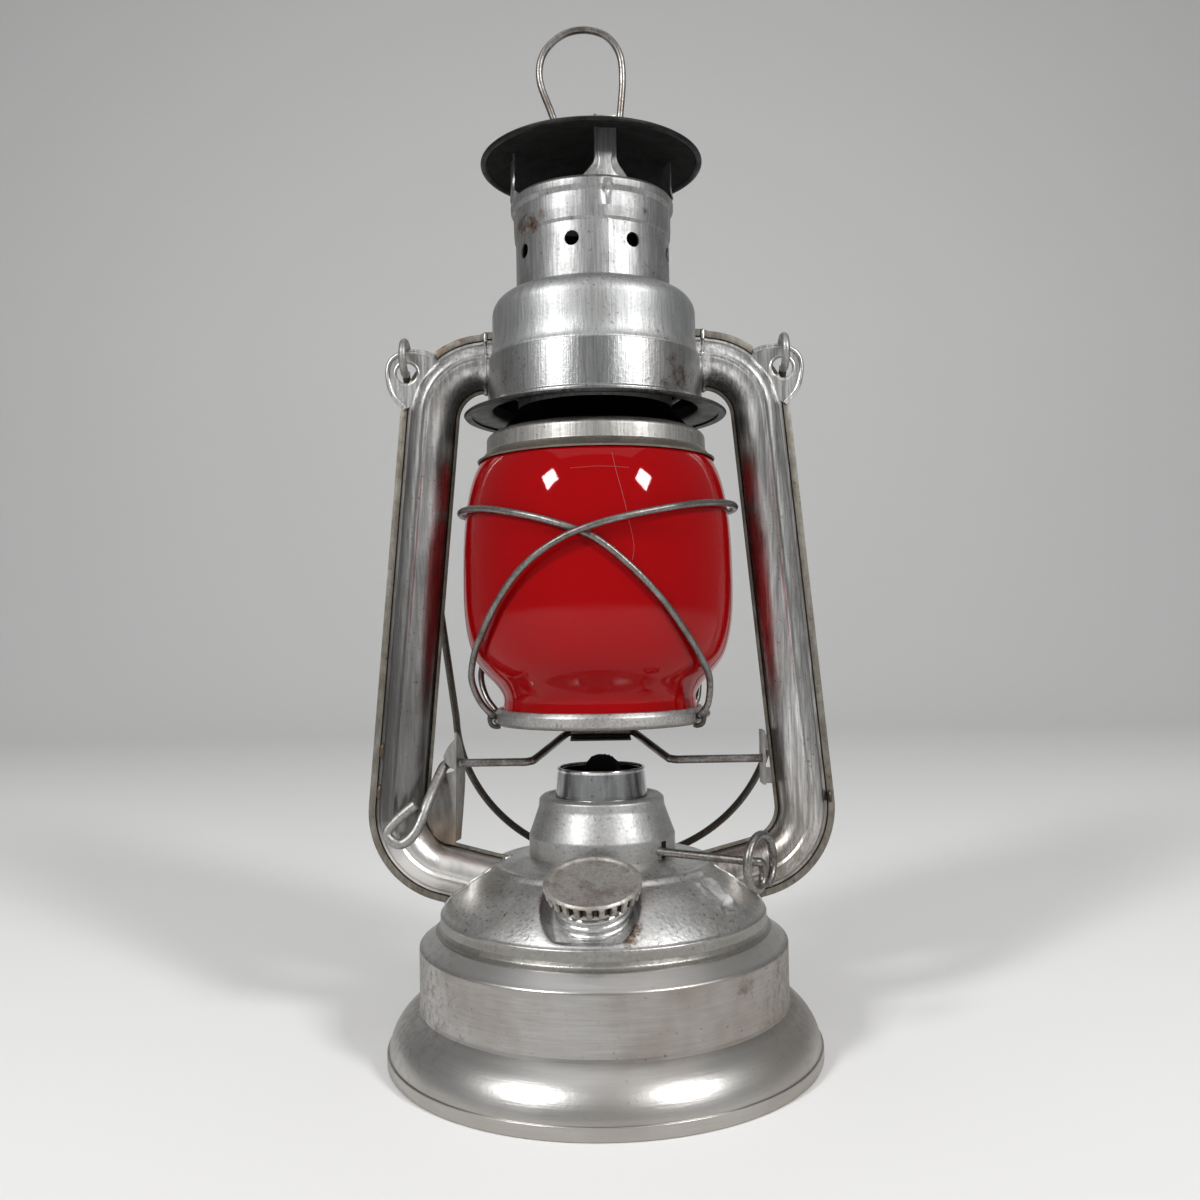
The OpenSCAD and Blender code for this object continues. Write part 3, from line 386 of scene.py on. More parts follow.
def arc(start, end, radius, steps=8):
    p, q = Vector(start), Vector(end)
    chord = q - p
    aside = Vector((chord.y, -chord.x)) / chord.length
    centre = (p + q) / 2 - sqrt(radius * radius - chord.length_squared / 4) * aside
    a = atan2(p.y - centre.y, p.x - centre.x)
    b = atan2(q.y - centre.y, q.x - centre.x)
    turns = [a + (b - a) * i / steps for i in range(steps + 1)]
    return [(centre.x + radius * cos(t), centre.y + radius * sin(t)) for t in turns]


def rounded(corners, closed=False, steps=5):
    # a corner (r, z, radius) is rounded; (r, z) stays sharp
    points = []
    count = len(corners)
    for i, corner in enumerate(corners):
        here = Vector(corner[:2])
        radius = corner[2] if len(corner) > 2 else 0
        if not radius or (not closed and i in (0, count - 1)):
            points.append((here.x, here.y))
            continue
        before = Vector(corners[i - 1][:2]) - here
        after = Vector(corners[(i + 1) % count][:2]) - here
        cut = radius / math.tan(before.angle(after) / 2)
        cut = min(cut, 0.49 * before.length, 0.49 * after.length)
        a = here + before.normalized() * cut
        b = here + after.normalized() * cut
        for j in range(steps + 1):
            t = j / steps
            spot = a * (1 - t) ** 2 + here * 2 * t * (1 - t) + b * t * t
            points.append((spot.x, spot.y))
    return points


def smoothThrough(points, steps=6, closed=False):
    p = [Vector(v) for v in points]
    count = len(p)
    path = []
    for i in range(count if closed else count - 1):
        if closed:
            a, b, c, d = p[i - 1], p[i], p[(i + 1) % count], p[(i + 2) % count]
        else:
            a, b, c, d = p[max(i - 1, 0)], p[i], p[i + 1], p[min(i + 2, count - 1)]
        for j in range(steps):
            t = j / steps
            bend = (2 * a - 5 * b + 4 * c - d) * t * t + (3 * b - a - 3 * c + d) * t ** 3
            path.append((2 * b + (c - a) * t + bend) / 2)
    if not closed:
        path.append(p[-1])
    return path


def bakedMesh(piece):
    bpy.context.view_layer.update()
    return bpy.data.meshes.new_from_object(piece.evaluated_get(bpy.context.evaluated_depsgraph_get()))


def thicken(piece, wall, lined, sharp):
    skin = piece.modifiers.new("sheet", "SOLIDIFY")
    skin.thickness = wall * mm
    skin.offset = -1
    skin.use_even_offset = True
    skin.material_offset = 1 if lined else 0
    flat = piece.data
    solid = bakedMesh(piece)
    piece.modifiers.clear()
    piece.data = solid
    bpy.data.meshes.remove(flat)
    solid.name = piece.name
    solid.set_sharp_from_angle(angle=radians(sharp))


def seat(piece, material, body, replaced=(), wall=0, lining=None, sharp=40):
    piece.data.materials.append(material)
    if lining:
        piece.data.materials.append(lining)
    if wall:
        thicken(piece, wall, lining, sharp)
    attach(piece, body)
    if replaced:
        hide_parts(*replaced)
    return piece


def smoothPiece(mesh, name, sharp):
    mesh.polygons.foreach_set("use_smooth", [True] * len(mesh.polygons))
    mesh.set_sharp_from_angle(angle=radians(sharp))
    return addObject(name, mesh)


def meshPiece(bm, name, sharp=40):
    mesh = bpy.data.meshes.new(name)
    bm.to_mesh(mesh)
    bm.free()
    return smoothPiece(mesh, name, sharp)


def joinDraft(bm, draft):
    mesh = bpy.data.meshes.new("joinDraft")
    draft.to_mesh(mesh)
    draft.free()
    bm.from_mesh(mesh)
    bpy.data.meshes.remove(mesh)


def setNormals(bm):
    bmesh.ops.recalc_face_normals(bm, faces=bm.faces)


def vertsIn(geom):
    return [g for g in geom if isinstance(g, bmesh.types.BMVert)]


def edgesIn(geom):
    return [g for g in geom if isinstance(g, bmesh.types.BMEdge)]


def turnOn(bm, degrees, axis="Z"):
    bmesh.ops.rotate(bm, cent=(0, 0, 0), matrix=Matrix.Rotation(radians(degrees), 3, axis), verts=bm.verts)


def toMetres(bm):
    bmesh.ops.scale(bm, vec=(mm, mm, mm), verts=bm.verts)


def faceOut(bm):
    # open sheets round the lantern's axis show their outer side
    for f in bm.faces:
        f.normal_update()
        middle = f.calc_center_median()
        if f.normal.dot(Vector((middle.x, middle.y, 0))) < 0:
            f.normal_flip()


def chainEdges(bm, points, closed=False):
    verts = [bm.verts.new(p) for p in points]
    pairs = zip(verts, verts[1:] + (verts[:1] if closed else []))
    return verts, [bm.edges.new(pair) for pair in pairs]


def spunMesh(points, steps=128, closed=False):
    bm = bmesh.new()
    verts, edges = chainEdges(bm, [(r * mm, 0, z * mm) for r, z in points], closed)
    bmesh.ops.spin(bm, geom=verts + edges, cent=(0, 0, 0), axis=(0, 0, 1), angle=2 * pi, steps=steps,
                   use_merge=True)
    bmesh.ops.remove_doubles(bm, verts=bm.verts, dist=1e-6)
    setNormals(bm)
    return bm


def spunPiece(name, corners, material, body, replaced=(), wall=0.6, steps=128, closed=False, sharp=40,
              lining=None):
    piece = meshPiece(spunMesh(rounded(corners, closed), steps, closed), name, sharp)
    return seat(piece, material, body, replaced, 0 if closed else wall, lining, sharp)


def wrapRound(bm, radius, degrees):
    # a flat sheet in x (round the tube), z and offset y, all in mm, becomes a stretch of the tube
    for v in bm.verts:
        a, reach = v.co.x / radius, radius + v.co.y
        v.co.x, v.co.y = reach * cos(a), reach * sin(a)
    turnOn(bm, degrees)
    toMetres(bm)


def wirePiece(name, points, radius, material, body, replaced=(), closed=False, sides=3):
    data = bpy.data.curves.new(name, "CURVE")
    data.dimensions = "3D"
    data.bevel_depth = radius * mm
    data.bevel_resolution = sides
    data.use_fill_caps = not closed
    spline = data.splines.new("POLY")
    spline.points.add(len(points) - 1)
    for knot, point in zip(spline.points, points):
        knot.co = (*(Vector(point) * mm), 1)
    spline.use_cyclic_u = closed
    draft = addObject(name + "Draft", data)
    mesh = bakedMesh(draft)
    mesh.name = name
    bpy.data.objects.remove(draft)
    bpy.data.curves.remove(data)
    mesh.materials.clear()
    return seat(smoothPiece(mesh, name, 50), material, body, replaced)


# floor and backdrop, which are not part of the lantern

stageSettings = {"halfWidth": 3.0, "front": -2.0, "bend": 1.1, "bendRadius": 0.7, "height": 2.6}


def buildStage(s):
    bm = bmesh.new()
    turns = [radians(9 * i) for i in range(11)]
    radius = s["bendRadius"]
    path = [(s["front"], 0.0)] + [(s["bend"] + radius * sin(a), radius * (1 - cos(a))) for a in turns]
    path.append((s["bend"] + radius, s["height"]))
    edges = chainEdges(bm, [(-s["halfWidth"], y, z) for y, z in path])[1]
    swept = bmesh.ops.extrude_edge_only(bm, edges=edges)["geom"]
    bmesh.ops.translate(bm, vec=(2 * s["halfWidth"], 0, 0), verts=vertsIn(swept))
    setNormals(bm)
    stage = meshPiece(bm, "studioSweep", 60)
    stage.data.materials.append(paleSweep)


buildStage(stageSettings)
print("stage made")

# filler's own frame, which the dome's well needs too

fillerSettings = {
    "topRadius": 40.6, "topHeight": 61.8, "lean": 19.5, "turn": -4.2, "neckRadius": 10.4,
    "neckLength": 28, "threadHeight": 0.85, "pitch": 2.5, "threadTurns": 4.2, "capRadius": 14.2,
    "capHeight": 4.4, "flutes": 24, "fluteDepth": 2.2, "threadTop": -3.6, "fluteFrom": 12.2,
    "fluteFloor": 11.7, "grooveTop": -1.3, "grooveIn": 0.95,
}
neckFrame = (
    Matrix.Rotation(radians(fillerSettings["turn"]), 4, "Z")
    @ Matrix.Translation((0, -fillerSettings["topRadius"] * mm, fillerSettings["topHeight"] * mm))
    @ Matrix.Rotation(radians(fillerSettings["lean"]), 4, "X")
)

# tank and air dome

tankSettings = {
    "footRadius": 68.5, "rimHeight": 4.0, "flareTop": 17.3, "flareBulge": 16.5, "bodyRadius": 58.3,
    "bodyTop": 35.5, "shoulderTop": 39.7,
}


def buildTank(s):
    foot, rim, body = s["footRadius"], s["rimHeight"], s["bodyRadius"]
    neck = domeSettings["radius"]
    rimIn = foot - 0.6
    spunPiece("tankRim", [
        (0, 3), (foot - 6, 3, 1), (foot - 4.5, 0, 1), (foot, 0, 0.9), (foot, rim + 0.1, 0.5),
        (rimIn, rim + 0.1), (rimIn - 0.6, 0.8), (foot - 4.1, 0.6, 0.6), (foot - 5.6, 3.6, 0.6), (0, 3.6),
    ], tankTin, "frame", ["tank_bottom"], steps=160, closed=True, sharp=50)
    flare = arc((rimIn, rim), (body + 0.35, s["flareTop"] - 0.5), s["flareBulge"], 14)
    shoulder = s["shoulderTop"]
    spunPiece("tankBody", [(rimIn, 1.2)] + flare + [
        (body + 0.1, s["flareTop"] + 0.5, 0.8), (body, s["flareTop"] + 3), (body, s["bodyTop"] - 0.1, 1.4),
        (neck + 0.6, shoulder - 0.1, 0.5), (neck - 0.6, shoulder, 0.4), (neck - 0.7, shoulder + 2.4),
    ], tankTin, "frame", ["tank_shell"], steps=192)


domeSettings = {
    "radius": 51.7, "foot": 39.7, "edge": 44.9, "top": 62.0, "bulge": 40.0, "centre": (18.18, 22.47),
    "ridgeRadius": 34.5, "ridgeHeight": 0.85, "ridgeWidth": 1.7, "wellRadius": 11.2, "wellWall": 3.6,
    "wellFloor": 45.7, "wellFall": 4.5, "wellAside": 0.9, "wellReach": 0.72, "troughTurn": -37,
    "troughFrom": 34, "troughTo": 48.0, "troughDepth": 1.8, "lipHeight": 0.9, "troughWidth": 1.8,
    "lipPlace": 3.7, "inner": 24.3, "open": 21.4, "troughNear": 30, "troughAside": 12, "troughRamp": 6,
    "troughEnd": 2.2, "lipWidth": 1.0, "wellFade": (0.6, 2.2),
}


def domeHeight(reach):
    across, up = domeSettings["centre"]
    return up + sqrt(domeSettings["bulge"] ** 2 - (reach - across) ** 2)


def buildDome(s):
    r, foot = s["radius"], s["foot"]
    curve = []
    for reach, z in arc((r - 0.5, s["edge"]), (s["inner"], s["top"]), s["bulge"], 96)[1:]:
        swell = max(0.0, 1 - ((reach - s["ridgeRadius"]) / s["ridgeWidth"]) ** 2)
        curve.append((reach, z + s["ridgeHeight"] * swell ** 1.5))
    corners = [(r + 1.5, foot - 0.1), (r + 0.45, foot + 0.5, 1.2), (r, foot + 2.0, 1.5),
               (r, s["edge"] - 0.2, 0.8)]
    bm = spunMesh(rounded(corners + curve + [(s["open"], s["top"])]), 320)
    turn = radians(s["troughTurn"])
    intoNeck = neckFrame.inverted()
    wellEdge = s["wellRadius"] + s["wellWall"]
    for v in bm.verts:
        x, y, z = v.co / mm
        along = x * cos(turn) + y * sin(turn)
        across = -x * sin(turn) + y * cos(turn)
        # pressed trough under the winder's ring, with raised lips
        if along > s["troughNear"] and abs(across) < s["troughAside"]:
            share = smoothStep(along, s["troughFrom"], s["troughFrom"] + s["troughRamp"])
            share *= smoothStep(s["troughTo"] - along, 0, s["troughEnd"])
            lip = s["lipHeight"] * hump(abs(across) - s["lipPlace"], s["lipWidth"])
            z += share * (lip - s["troughDepth"] * hump(across, s["troughWidth"]))
        spot = intoNeck @ v.co / mm
        away = hypot(spot.x + s["wellAside"], spot.y * (s["wellReach"] if spot.y < 0 else 1))
        if y < 0 and away < wellEdge and z > s["wellFloor"]:  # round the neck
            depth = 1 - smoothStep(away, s["wellRadius"], wellEdge)
            fall = max(s["wellFloor"] - z, -s["wellFall"])
            z += fall * depth * smoothStep(r - hypot(x, y), *s["wellFade"])
        v.co.z = z * mm
    setNormals(bm)
    seat(meshPiece(bm, "airDome"), domeTin, "frame", ["air_dome"], 0.5)


buildTank(tankSettings)
buildDome(domeSettings)
print("tank and dome made")


def buildFiller(s):
    r = s["neckRadius"]
    profile = [(r - 1, -s["neckLength"]), (r, -s["neckLength"]), (r, -3.1, 0.4), (r - 0.5, -2.65, 0.3),
               (r - 1, -2.65)]
    bm = spunMesh(rounded(profile, True), 96, True)
    bmesh.ops.transform(bm, matrix=neckFrame, verts=bm.verts)
    seat(meshPiece(bm, "fillerNeck"), domeTin, "frame", ["filler_neck"])

    bm = bmesh.new()
    crest = [(r + s["threadHeight"] * sin(pi * i / 8) ** 0.8, -1.1 + 2.2 * i / 8) for i in range(9)]
    foot = s["threadTop"] - s["pitch"] * s["threadTurns"]
    profile = [(r - 0.3, -1.2)] + crest + [(r - 0.3, 1.2)]
    verts, edges = chainEdges(bm, [(x * mm, 0, (z + foot) * mm) for x, z in profile], True)
    perTurn = 64
    bmesh.ops.spin(bm, geom=verts + edges, cent=(0, 0, 0), axis=(0, 0, 1),
                   dvec=(0, 0, s["pitch"] * mm / perTurn),
                   angle=2 * pi * s["threadTurns"], steps=int(perTurn * s["threadTurns"]))
    bmesh.ops.holes_fill(bm, edges=[e for e in bm.edges if e.is_boundary], sides=0)
    setNormals(bm)
    bmesh.ops.transform(bm, matrix=neckFrame, verts=bm.verts)
    seat(meshPiece(bm, "fillerThread"), domeTin, "frame")

    edge, skirt = s["capRadius"], -s["capHeight"]
    profile = [
        (0, -0.85), (10.6, -0.8), (11.7, -0.6, 0.9), (12.5, 0.0, 0.6), (edge - 0.7, 0.05, 0.6),
        (edge, -0.7, 0.7), (edge - 0.05, -1.6, 0.4), (edge - 0.35, -2.0), (edge - 0.4, -2.5),
        (edge - 0.5, -3.1), (edge - 0.6, -3.7), (edge - 0.7, skirt + 0.2, 0.3), (edge - 1.1, skirt, 0.3),
        (11.55, skirt), (11.45, -3), (11.4, -1.55), (0, -1.55),
    ]
    bm = spunMesh(rounded(profile, True), s["flutes"] * 16, True)
    for v in bm.verts:
        x, y, z = v.co / mm
        reach = hypot(x, y)
        if reach > s["fluteFrom"] and z < -0.7:
            wave = 0.5 - 0.5 * cos(s["flutes"] * atan2(y, x))
            fade = 1 - 0.3 * smoothStep(-z, 3.2, 4.4)
            groove = smoothStep(-z, 0.8, 1.7) * smoothStep(wave, 0.3, 0.85) * fade
            shrink = 1 - min(s["fluteDepth"] * groove, reach - s["fluteFloor"]) / reach
            v.co.x *= shrink
            v.co.y *= shrink
    for f in bm.faces:
        middle = f.calc_center_median() / mm
        inGroove = middle.z < s["grooveTop"] and hypot(middle.x, middle.y) < edge - s["grooveIn"]
        f.material_index = 1 if inGroove else 0
    bmesh.ops.transform(bm, matrix=neckFrame, verts=bm.verts)
    cap = seat(meshPiece(bm, "fillerCap", 50), capTin, "filler_cap", ["filler_cap"])
    cap.data.materials.append(grooveTin)


buildFiller(fillerSettings)
print("filler made")

# burner

burnerSettings = {
    "foot": 61.7, "top": 80.6, "footRadius": 23.3, "topRadius": 20.0, "capRadius": 14.7, "capTop": 89.4,
    "slotTurn": -35.5, "slotWidth": 2.4, "slotFoot": 62.2, "slotTop": 67.4,
}
wickSettings = {
    "turn": -33, "width": 12, "thick": 2, "back": 1, "foot": 11,
    "rings": [(88.4, 1.0, 1.0), (89.4, 1.0, 1.1), (90.6, 0.98, 1.08), (91.8, 0.9, 0.98), (92.9, 0.75, 0.7)],
}


def buildBurner(s):
    wide, narrow, cap = s["footRadius"], s["topRadius"], s["capRadius"]
    top, lip = s["top"], s["capTop"]
    spunPiece("burnerCollar", [
        (wide, s["foot"]), (wide, 68.2, 2.5), (21.9, 72.0, 8), (narrow + 0.15, 77.0, 4),
        (narrow - 0.1, top - 1.0, 1.0), (narrow - 1.3, top, 0.8), (cap + 2.4, top, 0.3),
        (cap + 2.0, top - 0.35, 0.3), (cap + 1.2, top - 0.3, 0.3), (cap + 0.7, top - 0.6, 0.3),
        (13.5, top - 0.5),
    ], burnerTin, "frame", ["burner_collar"], steps=144)
    spunPiece("burnerCap", [
        (cap + 0.15, top - 0.3), (cap, top + 0.7, 0.5), (cap - 0.75, lip - 1.3, 0.4),
        (cap - 0.55, lip - 0.6, 0.4), (cap - 0.9, lip, 0.4), (cap - 1.5, lip - 0.1, 0.3),
        (cap - 1.5, lip - 0.9),
    ], shinyReflectionStreakTin, "frame", ["burner_cap"], steps=128)
    spunPiece("burnerLining", [(cap - 1.3, top - 0.2), (cap - 1.7, lip - 1.0)], sootAndShadeSteel,
              "frame", wall=0.2)
    bm = bmesh.new()  # dark sheet on the collar, where the winder goes in: painted shade of the slot
    bmesh.ops.create_grid(bm, x_segments=4, y_segments=4, size=0.5)
    for v in bm.verts:
        v.co = (v.co.x * s["slotWidth"], 0.12,
                s["slotFoot"] + (v.co.y + 0.5) * (s["slotTop"] - s["slotFoot"]))
    wrapRound(bm, wide, s["slotTurn"])
    faceOut(bm)
    seat(meshPiece(bm, "winderSlotShade"), sootAndShadeSteel, "frame", wall=0.3)


def buildWick(s):
    bm = bmesh.new()
    bmesh.ops.create_grid(bm, x_segments=24, y_segments=6, size=0.5)
    bmesh.ops.scale(bm, vec=(s["width"] * mm, s["thick"] * mm, 1), verts=bm.verts)
    bmesh.ops.translate(bm, vec=(0, 0, s["foot"] * mm), verts=bm.verts)
    faces = bm.faces[:]
    for level, widen, swell in s["rings"]:  # the burnt end swells to a ragged heap
        grown = bmesh.ops.extrude_face_region(bm, geom=faces)["geom"]
        top = vertsIn(grown)
        bmesh.ops.delete(bm, geom=faces, context="FACES_ONLY")
        faces = [g for g in grown if isinstance(g, bmesh.types.BMFace)]
        ragged = 0.0 if level < 89 else 1.0
        for v in top:
            u, w = 24 * v.co.x / (s["width"] * mm), v.co.y / mm
            lump = sin(1.7 * u + 0.6 + level) + 0.7 * sin(3.9 * u + 5 * w) + 0.5 * sin(7 * w + u)
            rise = ragged * (0.15 * lump - 1.2 * (u / 12) ** 2)
            v.co = (v.co.x * widen, v.co.y * swell * (1 + 0.06 * ragged * lump), (level + rise) * mm)
    bmesh.ops.translate(bm, vec=(0, s["back"] * mm, 0), verts=bm.verts)
    setNormals(bm)
    turnOn(bm, s["turn"])
    seat(meshPiece(bm, "cottonWick", 80), charredCotton, "wick", ["wick"])


buildBurner(burnerSettings)
buildWick(wickSettings)
print("burner made")

# side tubes

tubeSettings = {
    "halfWidth": 7.2, "depth": 7.9, "inward": 1.0, "seam": 9.6, "sheet": 0.6, "groove": 0.12, "bead": 0.8,
    "beadWidth": 0.62, "beadPlace": 0.3, "topCentre": (35.0, 201.2), "topBend": 18.6, "splay": 5.25,
    "straight": 126.2, "lowBend": 19.5, "footFall": 15, "footLength": 24, "topLength": 1.0,
    "chamber": 35.3, "collarWire": 0.5, "flare": 0.07, "collarSpread": 1.03, "gapShadowWire": 0.3,
    "gapShadowIn": 0.55, "seamHalf": 0.66, "flangeHalf": 0.8,
}


def tubeSection(s):
    # closed outline in (outward, forward); the groove in each edge is the seam of the two stamped halves
    edge, t, groove = s["seam"], s["sheet"], s["groove"]
    turns = [9 + 51 * i / 8 for i in range(8)] + [60 + 2.5 * i for i in range(17)]  # closer at the bead
    turns += [100 + 71 * i / 8 for i in range(1, 9)]
    half = [(edge - 0.35, groove), (edge, groove + 0.12), (edge, t), (edge - 0.25, t + 0.12),
            (7.5, t + 0.12), (7.25, t - 0.15), (7.0, t + 0.12)]
    for turn in turns:
        u = s["halfWidth"] * cos(radians(turn)) - s["inward"]
        v = s["depth"] * sin(radians(turn))
        half.append((u, v + s["bead"] * hump(u - s["beadPlace"], s["beadWidth"])))
    half += [(-8.3, t + 0.12), (-8.5, t - 0.15), (-8.75, t + 0.12), (0.25 - edge, t + 0.12), (-edge, t),
             (-edge, groove + 0.12), (0.35 - edge, groove)]
    return half + [(u, -v) for u, v in reversed(half)]


def buildTube(name, side, skin, replaced, s):
    bm = bmesh.new()
    cx, cz = s["topCentre"]
    startX, startZ = cx - s["topLength"] - 2, cz + s["topBend"]
    rim = chainEdges(bm, [(startX * mm, -v * mm, (startZ + u) * mm) for u, v in tubeSection(s)], True)[1]

    def straightOn(edges, move):
        geom = bmesh.ops.extrude_edge_only(bm, edges=edges)["geom"]
        verts = set(vertsIn(geom))
        bmesh.ops.translate(bm, vec=Vector(move) * mm, verts=list(verts))
        return [e for e in edgesIn(geom) if all(v in verts for v in e.verts)]

    def bendOn(edges, centre, degrees, steps):
        verts = list({v for e in edges for v in e.verts})
        geom = bmesh.ops.spin(bm, geom=verts + edges, cent=(centre[0] * mm, 0, centre[1] * mm),
                              axis=(0, 1, 0), angle=radians(degrees), steps=steps)["geom_last"]
        return edgesIn(geom)

    for step in (2.0, s["topLength"] - 0.5, 0.25, 0.25):
        rim = straightOn(rim, (step, 0, 0))
    rim = bendOn(rim, (cx, cz), 90 - s["splay"], 20)
    lean = radians(s["splay"])
    outward = Vector((cos(lean), 0, sin(lean)))
    down = Vector((sin(lean), 0, -cos(lean)))
    for i in range(8):
        rim = straightOn(rim, down * s["straight"] / 8)
    low = Vector((cx, 0, cz)) + (s["topBend"] - s["lowBend"]) * outward + down * s["straight"]
    rim = bendOn(rim, (low.x, low.z), s["splay"] + 90 - s["footFall"], 20)
    fall = radians(s["footFall"])
    along = Vector((-cos(fall), 0, -sin(fall)))
    straightOn(rim, along * s["footLength"])
    for v in bm.verts:  # the end at the air chamber is turned out to a collar
        flare = 1 + s["flare"] * smoothStep(cx + 1.3 - v.co.x / mm, 0, 1.1)
        if v.co.z > 0.18:
            v.co.y *= flare
            v.co.z = (startZ + (v.co.z / mm - startZ) * flare) * mm
    bmesh.ops.holes_fill(bm, edges=[e for e in bm.edges if e.is_boundary], sides=0)
    if side < 0:
        bmesh.ops.scale(bm, vec=(-1, 1, 1), verts=bm.verts)
    setNormals(bm)
    for f in bm.faces:
        off = abs(f.calc_center_median().y) / mm
        f.material_index = 1 if off < s["seamHalf"] else 2 if off < s["flangeHalf"] else 0
    tube = seat(meshPiece(bm, name, 30), skin, "frame", replaced)
    tube.data.materials.append(seamTin)
    tube.data.materials.append(flangeTin)

    spread = s["collarSpread"]
    outline = [(spread * u, spread * v) for u, v in tubeSection(s) if abs(v) > 0.5]
    collar = [(side * sqrt(s["chamber"] ** 2 - v * v), -v, startZ + u) for u, v in outline]
    wirePiece(name + "Collar", collar, s["collarWire"], tubeTin, "frame", closed=True)
    # thin dark ring just inside the collar: painted shadow of the gap at the tube end
    gapShadow = [(x - side * s["gapShadowIn"], y, z) for x, y, z in collar]
    wirePiece(name + "Gap", gapShadow, s["gapShadowWire"], bailSteel, "frame", closed=True)
    across = Vector((sin(fall), 0, -cos(fall)))
    joint = []
    for u, v in outline:  # where the foot meets the dome
        near, far = 0.0, s["footLength"]
        for i in range(24):
            middle = (near + far) / 2
            spot = low + across * (s["lowBend"] + u) + along * middle
            if spot.z > domeHeight(hypot(spot.x, v)):
                near = middle
            else:
                far = middle
        joint.append((side * spot.x, -v, spot.z))
    wirePiece(name + "Joint", joint, s["collarWire"], domeTin, "frame", closed=True)


buildTube("leftTube", -1, leftTubeShadeHighlightTin, ["left_tube_front", "left_tube_back"], tubeSettings)
buildTube("rightTube", 1, tubeTin, ["right_tube_front", "right_tube_back"], tubeSettings)

dimpleSettings = {
    "places": [(-69.6, 95.5, 1.3, 2.6), (-70.7, 82.3, 1.3, 2.6), (73.0, 78.7, 0.7, 2.0)], "rise": 1.3,
    "lean": 5, "front": 1.7,
}


def buildDimples(s):
    for number, (x, z, wide, high) in enumerate(s["places"]):  # oval crimps at the tubes' outer edges
        bm = bmesh.new()
        bmesh.ops.create_uvsphere(bm, u_segments=24, v_segments=12, radius=1)
        bmesh.ops.scale(bm, vec=(wide, s["rise"], high), verts=bm.verts)
        turnOn(bm, math.copysign(s["lean"], -x), "Y")
        bmesh.ops.translate(bm, vec=(x, -s["front"], z), verts=bm.verts)
        toMetres(bm)
        seat(meshPiece(bm, "seamCrimp%d" % number), seamTin, "frame")


buildDimples(dimpleSettings)

earSettings = {
    "x": 60.8, "z": 217.0, "front": 1.0, "hole": 3.3, "rim": 0.85, "eye": 0.6, "sheet": 0.6,
    "outline": [(-9.2, 5.2), (-6, 6.5), (-1.5, 7), (2.5, 6.2), (5.5, 3.5), (6.1, -1.2), (4.5, -7),
                (0.5, -11.6)],
    "inner": [(-9.5, -4), (-10.5, 1)],
}


def buildEar(name, side, s):
    x, z, middle = s["x"], s["z"], 0.4 - s["front"]
    outline = [(side * (x + dx), middle, z + dz) for dx, dz in s["outline"]]
    wirePiece(name + "EarRim", smoothThrough(outline, 6), s["rim"], tubeTin, "frame")
    eye = []
    for a in range(0, 360, 10):
        dx, dz = polar(s["hole"] + 0.5, a)
        eye.append((side * (x + dx), middle, z + dz))
    wirePiece(name + "EarEye", eye, s["eye"], tubeTin, "frame", closed=True)
    bm = bmesh.new()
    edge = smoothThrough([(dx, dz) for dx, dz in s["outline"] + s["inner"]], 8, True)
    inside, outside = [], []
    for i in range(48):
        hole = Vector(polar(s["hole"], 7.5 * i))
        rim = max(edge, key=lambda p: p.normalized().dot(hole))
        inside.append((side * (x + hole.x) * mm, -s["front"] * mm, (z + hole.y) * mm))
        outside.append((side * (x + rim.x) * mm, -s["front"] * mm, (z + rim.y) * mm))
    loops = chainEdges(bm, inside, True)[1] + chainEdges(bm, outside, True)[1]
    bmesh.ops.bridge_loops(bm, edges=loops)
    bmesh.ops.remove_doubles(bm, verts=bm.verts, dist=1e-6)
    setNormals(bm)
    if sum(f.normal.y for f in bm.faces) > 0:
        bmesh.ops.reverse_faces(bm, faces=bm.faces)
    seat(meshPiece(bm, name + "EarPlate"), tubeTin, "frame", wall=s["sheet"])


buildEar("left", -1, earSettings)
buildEar("right", 1, earSettings)
print("tubes and ears made")

# air chamber

chamberSettings = {
    "bandRadius": 34.5, "bandFoot": 203.5, "bandTop": 219.7, "crownRadius": 32.8, "crownTop": 240.7,
    "crownRound": 7.0, "flangeRadius": 42.4,
}


def buildChamber(s):
    r, foot, top = s["bandRadius"], s["bandFoot"], s["bandTop"]
    spunPiece("chamberBand", [
        (r - 0.2, foot), (r + 0.65, foot + 0.35, 0.4), (r + 0.65, foot + 1.4, 0.5), (r, foot + 2.0, 0.4),
        (r, top - 0.1, 0.35), (r - 0.7, top + 0.1),
    ], bandTin, "frame", ["chamber_band"], steps=160, lining=sootAndShadeSteel)
    crown, bend, peak = s["crownRadius"], s["crownRound"], s["crownTop"]
    corner = arc((crown, peak - bend), (crown - bend, peak), bend, 12)
    flare = smoothThrough([
        (r - 0.45, top - 0.5), (r - 0.4, top + 0.3), (crown + 0.75, top + 1.7), (crown + 0.3, top + 3.6),
        (crown + 0.05, top + 6.5), (crown, top + 10),
    ], 5)
    mouth = [(25.3, peak + 0.05, 0.3), (25.15, peak - 0.6)]
    profile = [tuple(p) for p in flare] + corner + mouth
    spunPiece("chamberDome", profile, chamberTin, "frame", ["chamber_dome"], steps=160, lining=sootAndShadeSteel)
    edge = s["flangeRadius"]
    spunPiece("chamberFlange", [
        (33.4, foot + 4), (33.4, foot + 0.2, 0.8), (34.6, foot - 0.3, 0.6), (38.0, foot - 0.7),
        (edge - 0.8, foot - 0.9, 0.4), (edge, foot - 1.45, 0.5), (edge - 0.6, foot - 2.1, 0.5),
        (edge - 2.6, foot - 1.75),
    ], flangeSteel, "frame", ["chamber_flange"], wall=0.35, steps=160)


buildChamber(chamberSettings)

# chimney with its hood

